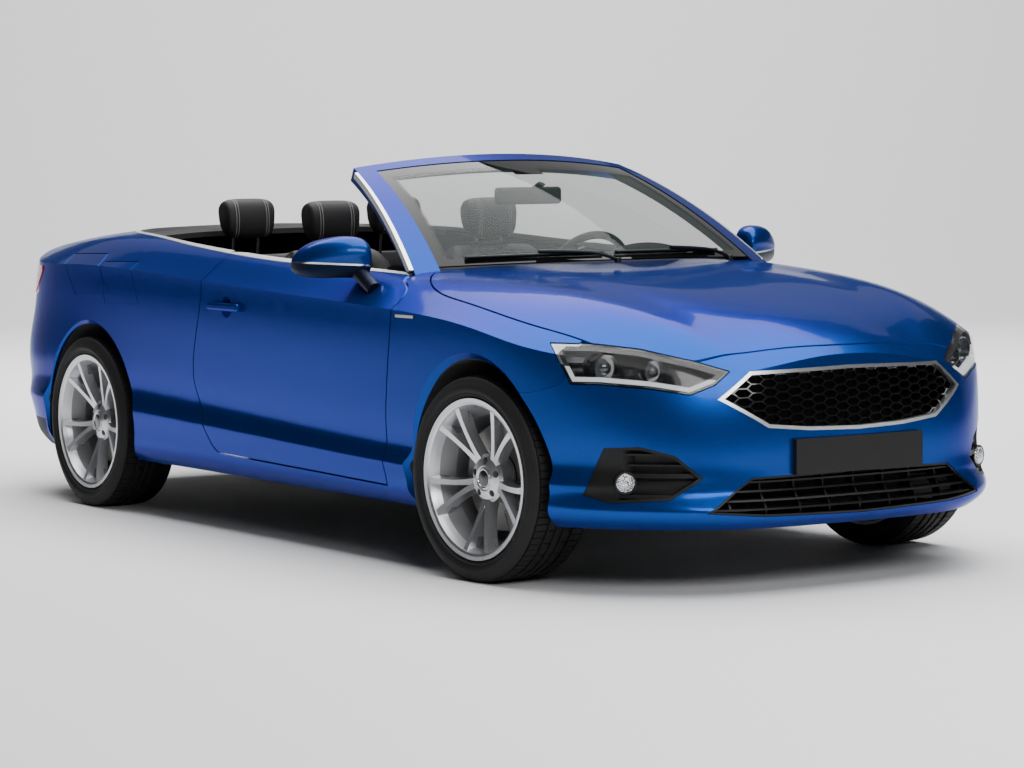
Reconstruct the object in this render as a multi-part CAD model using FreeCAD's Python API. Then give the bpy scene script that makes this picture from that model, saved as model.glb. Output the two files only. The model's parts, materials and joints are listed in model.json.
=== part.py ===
import FreeCAD, Part
import math
import os
from FreeCAD import Vector

# A four-seat convertible car with its soft top stowed, in millimetres.
# +X points to the nose, +Y to the car's left and +Z up.
# The origin is on the ground, at the middle of the car's length and width.

# Driving dimensions of the whole car
LENGTH = 4670.0
WIDTH = 1850.0
HEIGHT = 1380.0
WHEELBASE = 2765.0
FRONT_OVERHANG = 860.0
FRONT_TRACK = 1592.0
REAR_TRACK = 1580.0
TYRE_RADIUS = 330.5
TYRE_WIDTH = 245.0
SKIN = 18.0
PANEL_GAP = 6.0
REST_STEER = 5.0
GLASS = 5.0
SEAT_GAP = 0.3
OVERRUN = 400.0

HALF_LENGTH = LENGTH / 2
HALF_WIDTH = WIDTH / 2
FRONT_AXLE = HALF_LENGTH - FRONT_OVERHANG
REAR_AXLE = FRONT_AXLE - WHEELBASE
LEFT, RIGHT = 1, -1
SIDES = (("right", RIGHT), ("left", LEFT))


def patch(poles):
    """A smooth surface over a grid of poles, clamped at its four edges."""
    degree = 3
    numbers = []
    for count in (len(poles), len(poles[0])):
        spans = count - degree
        knots = [float(i) for i in range(spans + 1)]
        mults = [degree + 1] + [1] * (spans - 1) + [degree + 1]
        numbers.append((mults, knots))
    (u_mults, u_knots), (v_mults, v_knots) = numbers
    surface = Part.BSplineSurface()
    surface.buildFromPolesMultsKnots(
        poles, u_mults, v_mults, u_knots, v_knots, False, False, degree, degree)
    return surface.toShape()


def between(a, b, share):
    return a + (b - a) * share


def at(x, y, z):
    """A point given in shares of half length, half width and height."""
    return Vector(x * HALF_LENGTH, y * HALF_WIDTH, z * HEIGHT)


# The body's sides are one skin that wraps from the nose round each flank to the tail.
# Its plan is drawn twice, low at the bumpers and high at the lamps, in shares of the
# car's half length and half width; each level below mixes the two.
LOW_PLAN_SHARES = [
    (0.989, 0.0), (0.989, 0.217), (0.981, 0.450), (0.945, 0.635), (0.885, 0.800),
    (0.818, 0.930), (0.737, 0.990), (0.600, 1.0), (0.428, 0.992), (0.214, 0.986),
    (0.0, 0.986), (-0.214, 0.990), (-0.385, 0.997), (-0.552, 1.001), (-0.720, 0.997),
    (-0.806, 0.962), (-0.876, 0.892), (-0.935, 0.800), (-0.972, 0.620), (-1.0, 0.300),
    (-1.0, 0.0)]
HIGH_PLAN_SHARES = [
    (0.974, 0.0), (0.974, 0.216), (0.962, 0.411), (0.934, 0.562), (0.888, 0.735),
    (0.816, 0.919), (0.728, 0.973), (0.600, 0.978), (0.428, 0.976), (0.214, 0.976),
    (0.0, 0.976), (-0.214, 0.978), (-0.385, 0.978), (-0.552, 0.970), (-0.710, 0.945),
    (-0.800, 0.900), (-0.868, 0.830), (-0.922, 0.730), (-0.954, 0.570), (-0.978, 0.280),
    (-0.978, 0.0)]
# Each level: height ahead of the doors and behind them, half width, then how far the nose
# and the tail reach, and how much of the high plan it takes.
LEVEL_SHARES = [
    (0.150, 0.150, 0.938, 0.992, 0.935, 0.0),
    (0.168, 0.172, 0.965, 1.010, 0.946, 0.0),
    (0.190, 0.196, 0.980, 1.0165, 0.953, 0.0),
    (0.208, 0.222, 0.978, 1.0105, 0.962, 0.0),
    (0.232, 0.268, 0.984, 0.999, 0.973, 0.0),
    (0.250, 0.292, 0.992, 0.998, 0.979, 0.0),
    (0.262, 0.308, 0.980, 0.998, 0.983, 0.0),
    (0.286, 0.345, 0.960, 0.998, 0.992, 0.0),
    (0.340, 0.392, 0.975, 1.001, 1.003, 0.15),
    (0.420, 0.464, 0.984, 1.004, 1.011, 0.5),
    (0.500, 0.540, 0.998, 1.001, 1.007, 1.0),
    (0.570, 0.616, 1.000, 0.988, 0.996, 1.0),
    (0.610, 0.655, 0.997, 0.976, 0.987, 1.0),
    (0.652, 0.700, 1.000, 0.966, 0.981, 1.0),
    (0.906, 0.906, 1.010, 0.925, 0.965, 1.0)]
DOORS_FRONT_SHARE = 0.40
DOORS_REAR_SHARE = -0.40


def side_poles(inset=0.0):
    """The wrap-round skin's grid of poles, moved inwards by inset."""
    top = LEVEL_SHARES[-1][0] * HEIGHT
    grid = []
    for low, high in zip(LOW_PLAN_SHARES, HIGH_PLAN_SHARES):
        column = []
        for front_z, rear_z, half_width, nose, tail, mix in LEVEL_SHARES:
            along = between(low[0], high[0], mix)
            across = between(low[1], high[1], mix)
            share = (DOORS_FRONT_SHARE - along) / (DOORS_FRONT_SHARE - DOORS_REAR_SHARE)
            height = between(front_z, rear_z, min(max(share, 0.0), 1.0)) * HEIGHT
            end = nose if along > 0 else tail
            x = along * end * (HALF_LENGTH - inset)
            y = across * half_width * (HALF_WIDTH - inset)
            column.append(Vector(x, y, min(height, top)))
        grid.append(column)
    return grid


def mirrored(shape):
    return shape.mirror(Vector(0, 0, 0), Vector(0, 1, 0))


def wrapped_solid(inset=0.0):
    """Everything inside the wrap-round skin, between its level bottom and top edges."""
    half = patch(side_poles(inset))
    faces = [half, mirrored(half)]
    rims = [edge for face in faces for edge in face.Edges]
    for height in (LEVEL_SHARES[0][0] * HEIGHT, LEVEL_SHARES[-1][0] * HEIGHT):
        level = [e for e in rims if e.BoundBox.ZLength < SEAT_GAP / HEIGHT
                 and abs(e.BoundBox.ZMin - height) < SEAT_GAP / HEIGHT]
        faces.append(Part.Face(Part.Wire(Part.__sortEdges__(level))))
    shell = Part.makeShell(faces)
    shell.sewShape()
    solid = Part.makeSolid(Part.Shell(shell.Faces))
    return solid if solid.Volume > 0 else solid.reversed()


# The bonnet, the wing crowns, the tops of the flanks and the deck are one skin laid over
# the sides. Each row is a station along the car, with half width and height shares from
# the middle out: middle, dome, inner crease, valley, outer crease, shut line, crown,
# shoulder, and a last one past the flank.
CROWN_SHARES = [
    (1.050, [(0.0, 0.365), (0.14, 0.36), (0.26, 0.35), (0.35, 0.335), (0.42, 0.32),
             (0.52, 0.28), (0.64, 0.23), (0.80, 0.17), (1.00, 0.12)]),
    (1.000, [(0.0, 0.480), (0.15, 0.475), (0.29, 0.460), (0.37, 0.450), (0.44, 0.43),
             (0.54, 0.385), (0.67, 0.325), (0.84, 0.26), (1.05, 0.20)]),
    (0.960, [(0.0, 0.553), (0.15, 0.549), (0.303, 0.528), (0.38, 0.508), (0.45, 0.488),
             (0.55, 0.44), (0.68, 0.38), (0.85, 0.315), (1.06, 0.25)]),
    (0.925, [(0.0, 0.584), (0.15, 0.581), (0.306, 0.555), (0.39, 0.546), (0.467, 0.545),
             (0.57, 0.505), (0.71, 0.443), (0.88, 0.365), (1.08, 0.28)]),
    (0.882, [(0.0, 0.612), (0.15, 0.610), (0.321, 0.598), (0.43, 0.588), (0.534, 0.589),
             (0.63, 0.559), (0.77, 0.505), (0.91, 0.443), (1.10, 0.35)]),
    (0.814, [(0.0, 0.640), (0.15, 0.639), (0.344, 0.638), (0.475, 0.627), (0.578, 0.630),
             (0.70, 0.607), (0.83, 0.570), (0.938, 0.528), (1.10, 0.44)]),
    (0.737, [(0.0, 0.664), (0.15, 0.664), (0.376, 0.670), (0.50, 0.656), (0.619, 0.660),
             (0.735, 0.643), (0.86, 0.608), (0.952, 0.563), (1.10, 0.49)]),
    (0.634, [(0.0, 0.684), (0.15, 0.684), (0.411, 0.688), (0.53, 0.676), (0.646, 0.681),
             (0.757, 0.668), (0.88, 0.638), (0.960, 0.597), (1.10, 0.54)]),
    (0.514, [(0.0, 0.698), (0.15, 0.698), (0.454, 0.700), (0.56, 0.690), (0.668, 0.694),
             (0.773, 0.686), (0.886, 0.660), (0.965, 0.612), (1.10, 0.563)]),
    (0.385, [(0.0, 0.708), (0.15, 0.708), (0.49, 0.710), (0.59, 0.705), (0.69, 0.704),
             (0.789, 0.698), (0.881, 0.678), (0.967, 0.618), (1.10, 0.57)]),
    (0.171, [(0.0, 0.735), (0.15, 0.735), (0.50, 0.735), (0.61, 0.730), (0.71, 0.727),
             (0.80, 0.719), (0.870, 0.701), (0.976, 0.627), (1.10, 0.58)]),
    (-0.148, [(0.0, 0.760), (0.15, 0.760), (0.50, 0.755), (0.61, 0.750), (0.71, 0.746),
              (0.80, 0.738), (0.865, 0.724), (0.978, 0.648), (1.10, 0.60)]),
    (-0.428, [(0.0, 0.780), (0.15, 0.780), (0.50, 0.776), (0.61, 0.770), (0.71, 0.766),
              (0.79, 0.758), (0.850, 0.745), (0.972, 0.678), (1.10, 0.63)]),
    (-0.600, [(0.0, 0.784), (0.15, 0.784), (0.48, 0.780), (0.59, 0.775), (0.70, 0.768),
              (0.78, 0.757), (0.835, 0.745), (0.958, 0.682), (1.08, 0.63)]),
    (-0.749, [(0.0, 0.772), (0.15, 0.771), (0.43, 0.766), (0.54, 0.760), (0.65, 0.750),
              (0.735, 0.739), (0.805, 0.722), (0.915, 0.680), (1.06, 0.62)]),
    (-0.878, [(0.0, 0.752), (0.15, 0.751), (0.43, 0.745), (0.54, 0.738), (0.63, 0.728),
              (0.70, 0.715), (0.757, 0.700), (0.865, 0.664), (1.03, 0.60)]),
    (-0.964, [(0.0, 0.738), (0.15, 0.737), (0.43, 0.728), (0.54, 0.719), (0.63, 0.706),
              (0.69, 0.693), (0.735, 0.675), (0.822, 0.640), (1.00, 0.57)]),
    (-1.050, [(0.0, 0.700), (0.15, 0.699), (0.43, 0.690), (0.54, 0.680), (0.63, 0.665),
              (0.69, 0.650), (0.735, 0.630), (0.822, 0.590), (1.00, 0.52)])]


def crown_solid(drop=0.0):
    """Everything under the skin of the bonnet, flanks and deck, lowered by drop."""
    grid = []
    for along, row in CROWN_SHARES:
        half = [Vector(along * HALF_LENGTH, y * HALF_WIDTH, z * HEIGHT - drop) for y, z in row]
        grid.append([Vector(p.x, -p.y, p.z) for p in reversed(half[1:])] + half)
    return patch(grid).extrude(Vector(0, 0, -HEIGHT))


SKINS = {}


def body_solid(inset=0.0):
    """The whole body under its skin, moved inwards by inset. Each depth is made once."""
    if inset not in SKINS:
        SKINS[inset] = wrapped_solid(inset).common(crown_solid(inset))
    return SKINS[inset]


def layer(outside, inside):
    """The part of the body between two depths under its skin."""
    return body_solid(outside).cut(body_solid(inside))


# Small makers of plain shapes
def block(x, y, z):
    """A box between two corners given axis by axis."""
    return Part.makeBox(x[1] - x[0], y[1] - y[0], z[1] - z[0], Vector(x[0], y[0], z[0]))


def share_block(x, y, z):
    """A box whose corners are given in shares of half length, half width and height."""
    low, high = at(x[0], y[0], z[0]), at(x[1], y[1], z[1])
    return block((low.x, high.x), (low.y, high.y), (low.z, high.z))


def rounded(shape, radius):
    """The same solid with all its edges rounded."""
    return shape.makeFillet(radius, shape.Edges)


def rod(radius, start, end):
    way = end.sub(start)
    return Part.makeCylinder(radius, way.Length, start, way)


def closed_wire(runs, place):
    """A closed outline. A run of two points is straight and a longer one is a smooth curve."""
    edges = []
    for run in runs:
        points = [place(*pair) for pair in run]
        if len(points) == 2:
            edges.append(Part.LineSegment(*points).toShape())
        else:
            curve = Part.BSplineCurve()
            curve.interpolate(points)
            edges.append(curve.toShape())
    return Part.Wire(edges)


def grown(wire, grow):
    """The outline moved outwards by grow, its curves drawn again as plain ones."""
    edges = []
    for edge in wire.makeOffset2D(grow).Edges:
        points = edge.discretize(9)
        if isinstance(edge.Curve, (Part.Line, Part.LineSegment)):
            edges.append(Part.LineSegment(points[0], points[-1]).toShape())
        else:
            curve = Part.BSplineCurve()
            curve.interpolate(points)
            edges.append(curve.toShape())
    return Part.Wire(Part.__sortEdges__(edges))


def side_view(runs, near, far, grow=0.0):
    """An outline of length and height shares, carried across the car from near to far."""
    wire = closed_wire(runs, lambda x, z: Vector(x * HALF_LENGTH, near, z * HEIGHT))
    if grow:
        wire = grown(wire, grow)
    return Part.Face(wire).extrude(Vector(0, far - near, 0))


def plan_view(runs, low, high, grow=0.0):
    """An outline of length and half width shares, carried upwards from low to high."""
    wire = closed_wire(runs, lambda x, y: Vector(x * HALF_LENGTH, y * HALF_WIDTH, low))
    if grow:
        wire = grown(wire, grow)
    return Part.Face(wire).extrude(Vector(0, 0, high - low))


def both_sides(half_runs):
    """A plan outline drawn from middle line to middle line, closed by its mirror image.
    The runs that meet the middle line become one run across it."""
    other = [[(x, -y) for x, y in reversed(run)] for run in reversed(half_runs)]
    first = other[-1][:-1] + half_runs[0]
    last = half_runs[-1][:-1] + other[0]
    return [first] + half_runs[1:-1] + [last] + other[1:-1]


def loop(points):
    """Corner points as a closed outline of straight runs."""
    return [[a, b] for a, b in zip(points, points[1:] + points[:1])]


def largest(shape):
    return max(shape.Solids, key=lambda solid: solid.Volume)


def save(name, *solids):
    """One sub-part's file. Solids that stand apart go in as a group."""
    shape = solids[0] if len(solids) == 1 else Part.makeCompound(list(solids))
    shape.exportStep("parts/" + name + ".step")


os.makedirs("parts", exist_ok=True)
OUTER = body_solid()
INNER = body_solid(SKIN)
SHELL = OUTER.cut(INNER)
TUB_SKIN = body_solid(SKIN + SEAT_GAP)

# Where the panels of the skin meet. The bonnet runs from the scuttle to the nose.
HOOD_PLAN_SHARES = both_sides([
    [(0.460, 0.0), (0.448, 0.32), (0.424, 0.58), (0.399, 0.745)],
    [(0.399, 0.745), (0.486, 0.868), (0.561, 0.884), (0.675, 0.884), (0.752, 0.858), (0.798, 0.822),
     (0.835, 0.782)],
    [(0.835, 0.782), (0.878, 0.668), (0.916, 0.5535)],
    [(0.916, 0.5535), (0.9246, 0.483), (0.931, 0.387), (0.950, 0.165), (0.955, 0.0)]])
# The doors, whose rear edge bulges back at the crease
DOOR_SHARES = [
    [(0.366, 0.730), (0.370, 0.690), (0.396, 0.672), (0.4236, 0.618)],
    [(0.4236, 0.618), (0.416, 0.526), (0.4056, 0.433), (0.4047, 0.196)],
    [(0.4047, 0.196), (-0.085, 0.209)],
    [(-0.085, 0.209), (-0.114, 0.222), (-0.142, 0.277), (-0.179, 0.391), (-0.166, 0.499),
     (-0.143, 0.615), (-0.141, 0.649)],
    [(-0.141, 0.649), (-0.141, 0.730)],
    [(-0.141, 0.730), (0.366, 0.730)]]
# The lid over the stowed top, the boot lid behind it, and the bumpers' splits
DECK_PLAN_SHARES = both_sides([
    [(-0.560, 0.0), (-0.560, 0.600)],
    [(-0.560, 0.600), (-0.600, 0.700), (-0.660, 0.770), (-0.735, 0.765)],
    [(-0.735, 0.765), (-0.740, 0.0)]])
TRUNK_PLAN_SHARES = both_sides([
    [(-0.743, 0.0), (-0.738, 0.765)],
    [(-0.738, 0.765), (-0.830, 0.712), (-0.900, 0.660), (-1.100, 0.640)],
    [(-1.100, 0.640), (-1.100, 0.0)]])
TRUNK_LOW_SHARE = 0.520
LID_LOW_SHARE = 0.5
BUMPER_SPLIT_SHARES = [
    [(0.700, 0.0), (0.700, 0.452)],
    [(0.700, 0.452), (0.759, 0.452), (0.790, 0.463), (0.812, 0.478)],
    [(0.812, 0.478), (0.806, 0.700)],
    [(0.806, 0.700), (1.100, 0.700)],
    [(1.100, 0.700), (1.100, 0.0)],
    [(1.100, 0.0), (0.700, 0.0)]]
REAR_SPLIT_SHARES = [
    [(-0.720, 0.0), (-0.730, 0.400)],
    [(-0.730, 0.400), (-0.800, 0.560), (-0.900, 0.575)],
    [(-0.900, 0.575), (-1.100, 0.575)],
    [(-1.100, 0.575), (-1.100, 0.0)],
    [(-1.100, 0.0), (-0.720, 0.0)]]
# The cabin's opening seen from above, and the bright strip laid round it
CABIN_PLAN_SHARES = both_sides([
    [(0.372, 0.0), (0.372, 0.790)],
    [(0.372, 0.790), (0.200, 0.818), (0.0, 0.830), (-0.180, 0.818), (-0.340, 0.786),
     (-0.480, 0.730), (-0.590, 0.660), (-0.645, 0.580)],
    [(-0.645, 0.580), (-0.672, 0.460), (-0.682, 0.300), (-0.684, 0.0)]])
CABIN_LOW_SHARE = 0.2
TRIM_WIDTH = 19.0
TRIM_PROUD = 2.5
TRIM_DEPTH = 12.0
TRIM_FRONT_SHARE = 0.366

ARCH_RADIUS = 380.0
ARCH_FLARE = 48.0
ARCH_DEPTH = 44.0
FRONT_WELL_INNER = 495.0
REAR_WELL_INNER = 610.0
FAR = WIDTH
SPLIT_GAP = 1.0
FENDER_REAR_SHARE = 0.380
SILL_TOP = 262.0


def wheel_well(axle, inner, side):
    """The round space a wheel turns in, open outwards, with a bevel round its mouth."""
    start = Vector(axle, side * inner, TYRE_RADIUS)
    way = Vector(0, side, 0)
    well = Part.makeCylinder(ARCH_RADIUS, FAR, start, way)
    mouth = HALF_WIDTH - ARCH_DEPTH
    flare = Part.makeCone(
        ARCH_RADIUS, ARCH_RADIUS + 2 * ARCH_FLARE, 2 * ARCH_DEPTH,
        Vector(axle, side * mouth, TYRE_RADIUS), way)
    return well.fuse(flare)


WELLS = [wheel_well(axle, inner, side) for _, side in SIDES
         for axle, inner in ((FRONT_AXLE, FRONT_WELL_INNER), (REAR_AXLE, REAR_WELL_INNER))]
LID_LOW = LID_LOW_SHARE * HEIGHT
HOOD_TOOL = plan_view(HOOD_PLAN_SHARES, LID_LOW, HEIGHT)
HOOD_HOLE = plan_view(HOOD_PLAN_SHARES, LID_LOW, HEIGHT, PANEL_GAP)
TRUNK_LOW = TRUNK_LOW_SHARE * HEIGHT
TRUNK_TOOL = plan_view(TRUNK_PLAN_SHARES, TRUNK_LOW, HEIGHT)
TRUNK_HOLE = plan_view(TRUNK_PLAN_SHARES, TRUNK_LOW - PANEL_GAP, HEIGHT, PANEL_GAP)
DECK_TOOL = plan_view(DECK_PLAN_SHARES, LID_LOW, HEIGHT)
DECK_HOLE = plan_view(DECK_PLAN_SHARES, LID_LOW, HEIGHT, PANEL_GAP / 2)
CABIN_LOW = CABIN_LOW_SHARE * HEIGHT
CABIN_TOOL = plan_view(CABIN_PLAN_SHARES, CABIN_LOW, HEIGHT)
TRIM_TOOL = plan_view(CABIN_PLAN_SHARES, CABIN_LOW, HEIGHT, TRIM_WIDTH)
CABIN_HOLE = plan_view(CABIN_PLAN_SHARES, CABIN_LOW, HEIGHT, TRIM_WIDTH + SEAT_GAP)


def door_tool(side, grow=0.0):
    return side_view(DOOR_SHARES, side * HALF_WIDTH / 2, side * FAR, grow)


def skin_width(x, z):
    """How far the skin lies from the middle plane at a place along and up."""
    line = Part.makeLine(Vector(x, 0, z), Vector(x, FAR, z))
    return OUTER.common(line).BoundBox.YMax


# The skin's panels
SCUTTLE_SHARES = ((0.36, 0.48), (-0.740, 0.740), (0.5, 1.0))
hood = SHELL.common(HOOD_TOOL)
trunk = SHELL.common(TRUNK_TOOL)
bumper = SHELL.common(side_view(BUMPER_SPLIT_SHARES, -FAR, FAR)).cut(HOOD_HOLE)
rear = SHELL.common(side_view(REAR_SPLIT_SHARES, -FAR, FAR)).cut(TRUNK_HOLE)
deck = SHELL.common(DECK_TOOL).cut(CABIN_HOLE)
rest = SHELL.cut([side_view(BUMPER_SPLIT_SHARES, -FAR, FAR, SPLIT_GAP),
                  side_view(REAR_SPLIT_SHARES, -FAR, FAR, SPLIT_GAP),
                  HOOD_HOLE, TRUNK_HOLE, DECK_HOLE, CABIN_HOLE] + WELLS)
bumper = bumper.cut(WELLS)
rear = rear.cut(WELLS)
scuttle_tool = share_block(*SCUTTLE_SHARES)
panels = {"scuttle": rest.common(scuttle_tool), "deck_panel": deck}
rest = rest.cut(scuttle_tool)
AHEAD = block((FENDER_REAR_SHARE * HALF_LENGTH, LENGTH), (-FAR, FAR), (SILL_TOP, HEIGHT))
for name, side in SIDES:
    half = block((-LENGTH, LENGTH), sorted((0.0, side * FAR)), (0.0, HEIGHT))
    flank = rest.common(half).cut(door_tool(side, PANEL_GAP))
    panels["fender_" + name] = flank.common(AHEAD)
    panels["body_side_" + name] = largest(flank.cut(AHEAD))
    panels["door_" + name] = OUTER.common(door_tool(side)).cut(INNER).cut(CABIN_HOLE)

# The bright strip round the cabin's opening, split where the doors open
strip = body_solid(-TRIM_PROUD).common(TRIM_TOOL.cut(CABIN_TOOL)).cut(body_solid(TRIM_DEPTH))
strip = strip.common(block((-LENGTH, TRIM_FRONT_SHARE * HALF_LENGTH), (-FAR, FAR), (0.0, HEIGHT)))
fixed_strip = strip
for name, side in SIDES:
    save("door_trim_" + name, largest(strip.common(door_tool(side))))
    fixed_strip = fixed_strip.cut(door_tool(side, PANEL_GAP))
save("belt_trim", largest(fixed_strip))

# Door handles: a bar across a round finger recess
HANDLE_SHARES = (-0.0617, 0.593)
HANDLE_LENGTH = 225.0
HANDLE_HEIGHT = 30.0
HANDLE_DEPTH = 34.0
HANDLE_PROUD = 22.0
HANDLE_ROUND = 10.0
RECESS_RADIUS = 62.0
RECESS_DEPTH = 14.0
handle_x = HANDLE_SHARES[0] * HALF_LENGTH
handle_z = HANDLE_SHARES[1] * HEIGHT
handle_y = skin_width(handle_x, handle_z)
for name, side in SIDES:
    bar = block((handle_x - HANDLE_LENGTH / 2, handle_x + HANDLE_LENGTH / 2),
                sorted((side * (handle_y + HANDLE_PROUD), side * (handle_y + HANDLE_PROUD - HANDLE_DEPTH))),
                (handle_z - HANDLE_HEIGHT / 2, handle_z + HANDLE_HEIGHT / 2))
    dish = Part.makeSphere(RECESS_RADIUS, Vector(handle_x, side * (handle_y + RECESS_RADIUS - RECESS_DEPTH),
                                                 handle_z))
    door = panels["door_" + name].cut(dish)
    panels["door_" + name] = door.fuse(rounded(bar, HANDLE_ROUND))

# Two filler flaps, drawn as fine grooves on the right rear quarter
FLAP_SHARES = [
    [(-0.6617, 0.7051), (-0.5225, 0.7109), (-0.4694, 0.6058), (-0.603, 0.5978)],
    [(-0.4985, 0.6906), (-0.3901, 0.6949), (-0.3593, 0.5826), (-0.4822, 0.579)]]
GROOVE_WIDTH = 3.0
GROOVE_DEPTH = 2.5
groove_layer = layer(-GROOVE_DEPTH, GROOVE_DEPTH)
for corners in FLAP_SHARES:
    flap = side_view(loop(corners), -HALF_WIDTH / 2, -FAR)
    ring = side_view(loop(corners), -HALF_WIDTH / 2, -FAR, GROOVE_WIDTH).cut(flap)
    panels["body_side_right"] = panels["body_side_right"].cut(ring.common(groove_layer))

# Lamps, grille and intakes are cut through the nose along the way each one faces.
LAMP_SHARES = [
    (0.790, 0.911, 0.563), (0.835, 0.803, 0.561), (0.873, 0.695, 0.550), (0.919, 0.558, 0.523),
    (0.947, 0.467, 0.501), (0.946, 0.524, 0.473), (0.934, 0.603, 0.452), (0.901, 0.707, 0.466),
    (0.855, 0.827, 0.475), (0.823, 0.888, 0.475)]
FOG_SHARES = [
    (0.868, 0.836, 0.333), (0.904, 0.754, 0.337), (0.934, 0.663, 0.317), (0.955, 0.588, 0.266),
    (0.937, 0.690, 0.219), (0.883, 0.839, 0.211), (0.851, 0.892, 0.227)]
GRILLE_SHARES = [
    (0.960, 0.0, 0.506), (0.956, 0.405, 0.501), (0.952, 0.524, 0.441), (0.976, 0.362, 0.375),
    (0.985, 0.200, 0.365), (0.987, 0.0, 0.361)]
INTAKE_SHARES = [
    (0.987, 0.0, 0.271), (0.975, 0.424, 0.266), (0.968, 0.590, 0.190), (0.990, 0.400, 0.180),
    (0.994, 0.0, 0.174)]
TAIL_SHARES = [
    (-0.805, 0.908, 0.652), (-0.869, 0.843, 0.670), (-0.929, 0.712, 0.670), (-0.940, 0.705, 0.580),
    (-0.882, 0.854, 0.576), (-0.822, 0.913, 0.587)]
CORNER_SHARES = (0.83, 0.56)
CORNER_WAY = Vector(CORNER_SHARES[0], CORNER_SHARES[1], 0)
NOSE_WAY = Vector(1, 0, 0)
TAIL_WAY = Vector(-CORNER_SHARES[0], CORNER_SHARES[1], 0)


def through(shares, way, side=0, grow=0.0):
    """A straight cutter through an outline, along the way it faces."""
    points = [at(*share) for share in shares]
    if side == 0:
        points += [Vector(p.x, -p.y, p.z) for p in reversed(points) if p.y]
    normal = Vector(way).normalize()
    base = min(p.dot(normal) for p in points) - OVERRUN
    flat = [p - normal * (p.dot(normal) - base) for p in points]
    wire = Part.makePolygon(flat + flat[:1])
    if grow:
        wire = wire.makeOffset2D(grow)
    tool = Part.Face(wire).extrude(normal * (3 * OVERRUN))
    return mirrored(tool) if side == RIGHT else tool


LAMP_GAP = 3.0
LAMP_DEPTH = 90.0
LENS = 4.0
LAMP_WALL = 7.0
GUIDE_WIDTH = 13.0
GUIDE_DEPTH = 26.0
LAMP_FLOOR = 72.0
TAIL_GAP = 1.5
lamp_holes = [through(LAMP_SHARES, CORNER_WAY, side, LAMP_GAP) for _, side in SIDES]
fog_holes = [through(FOG_SHARES, CORNER_WAY, side, SEAT_GAP) for _, side in SIDES]
tail_holes = [through(TAIL_SHARES, TAIL_WAY, side, TAIL_GAP) for _, side in SIDES]
grille_hole = through(GRILLE_SHARES, NOSE_WAY)
intake_hole = through(INTAKE_SHARES, NOSE_WAY)
bumper = bumper.cut(lamp_holes + fog_holes + [grille_hole, intake_hole])
hood = hood.cut(lamp_holes)
for name, _ in SIDES:
    panels["fender_" + name] = panels["fender_" + name].cut(lamp_holes)
    panels["body_side_" + name] = panels["body_side_" + name].cut(tail_holes)
rear = rear.cut(tail_holes)
trunk = trunk.cut(tail_holes)
save("bumper_front", largest(bumper))
save("hood", largest(hood))
save("trunk_lid", largest(trunk))

# Headlamps: a bowl with two round projectors, a light guide round its mouth and a clear lens
PROJECTOR_SHARES = [(0.844, 0.777, 0.508), (0.882, 0.649, 0.500)]
PROJECTOR_RADII = (42.0, 36.0)
PROJECTOR_DOME = 0.72
PROJECTOR_WALL = 4.0
PROJECTOR_REACH = 60.0
PROJECTOR_SET = 8.0
LAMP_BLOCK_SHARES = ((0.76, 1.0), (0.42, 0.96), (0.42, 0.60))
PROJECTOR_WAY_SHARE = 0.18
lamp_block = share_block(*LAMP_BLOCK_SHARES)
lamp_skins = {depth: body_solid(depth).common(lamp_block)
              for depth in (0.0, LENS, LENS + SEAT_GAP, LENS + 2 * SEAT_GAP, GUIDE_DEPTH,
                            LENS + LAMP_GAP, LAMP_FLOOR, LAMP_DEPTH)}
outline = through(LAMP_SHARES, CORNER_WAY, LEFT)
mouth = through(LAMP_SHARES, CORNER_WAY, LEFT, -LAMP_WALL)
lens = lamp_skins[0.0].cut(lamp_skins[LENS]).common(outline)
guide_layer = lamp_skins[LENS + 2 * SEAT_GAP].cut(lamp_skins[GUIDE_DEPTH])
guide = guide_layer.common(through(LAMP_SHARES, CORNER_WAY, LEFT, -LAMP_WALL - SEAT_GAP))
guide = guide.cut(through(LAMP_SHARES, CORNER_WAY, LEFT, -LAMP_WALL - GUIDE_WIDTH))
bowl = lamp_skins[LENS + SEAT_GAP].cut(lamp_skins[LAMP_DEPTH]).common(outline)
bowl = bowl.cut(lamp_skins[0.0].cut(lamp_skins[LAMP_FLOOR]).common(mouth))
tube_space = lamp_skins[LENS + LAMP_GAP].cut(lamp_skins[LAMP_DEPTH]).common(mouth)
way = Vector(NOSE_WAY.x, PROJECTOR_WAY_SHARE, 0).normalize()
for shares, radius in zip(PROJECTOR_SHARES, PROJECTOR_RADII):
    front = at(*shares)
    tube = rod(radius, front - way * PROJECTOR_REACH * 2, front)
    tube = tube.cut(rod(radius - PROJECTOR_WALL, front - way * PROJECTOR_SET * 2, front + way * radius))
    dome = radius * PROJECTOR_DOME
    ball = Part.makeSphere(dome, front - way * (dome + PROJECTOR_SET))
    bowl = bowl.fuse(tube.fuse(ball).common(tube_space))
ring = through(LAMP_SHARES, CORNER_WAY, LEFT, -LAMP_WALL).cut(
    through(LAMP_SHARES, CORNER_WAY, LEFT, -LAMP_WALL - GUIDE_WIDTH - SEAT_GAP))
bowl = bowl.cut(lamp_skins[LENS + SEAT_GAP].cut(lamp_skins[GUIDE_DEPTH]).common(ring))
for name, solid in (("headlamps", bowl), ("headlamp_guides", guide), ("headlamp_lenses", lens)):
    save(name, mirrored(largest(solid)), largest(solid))

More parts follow.
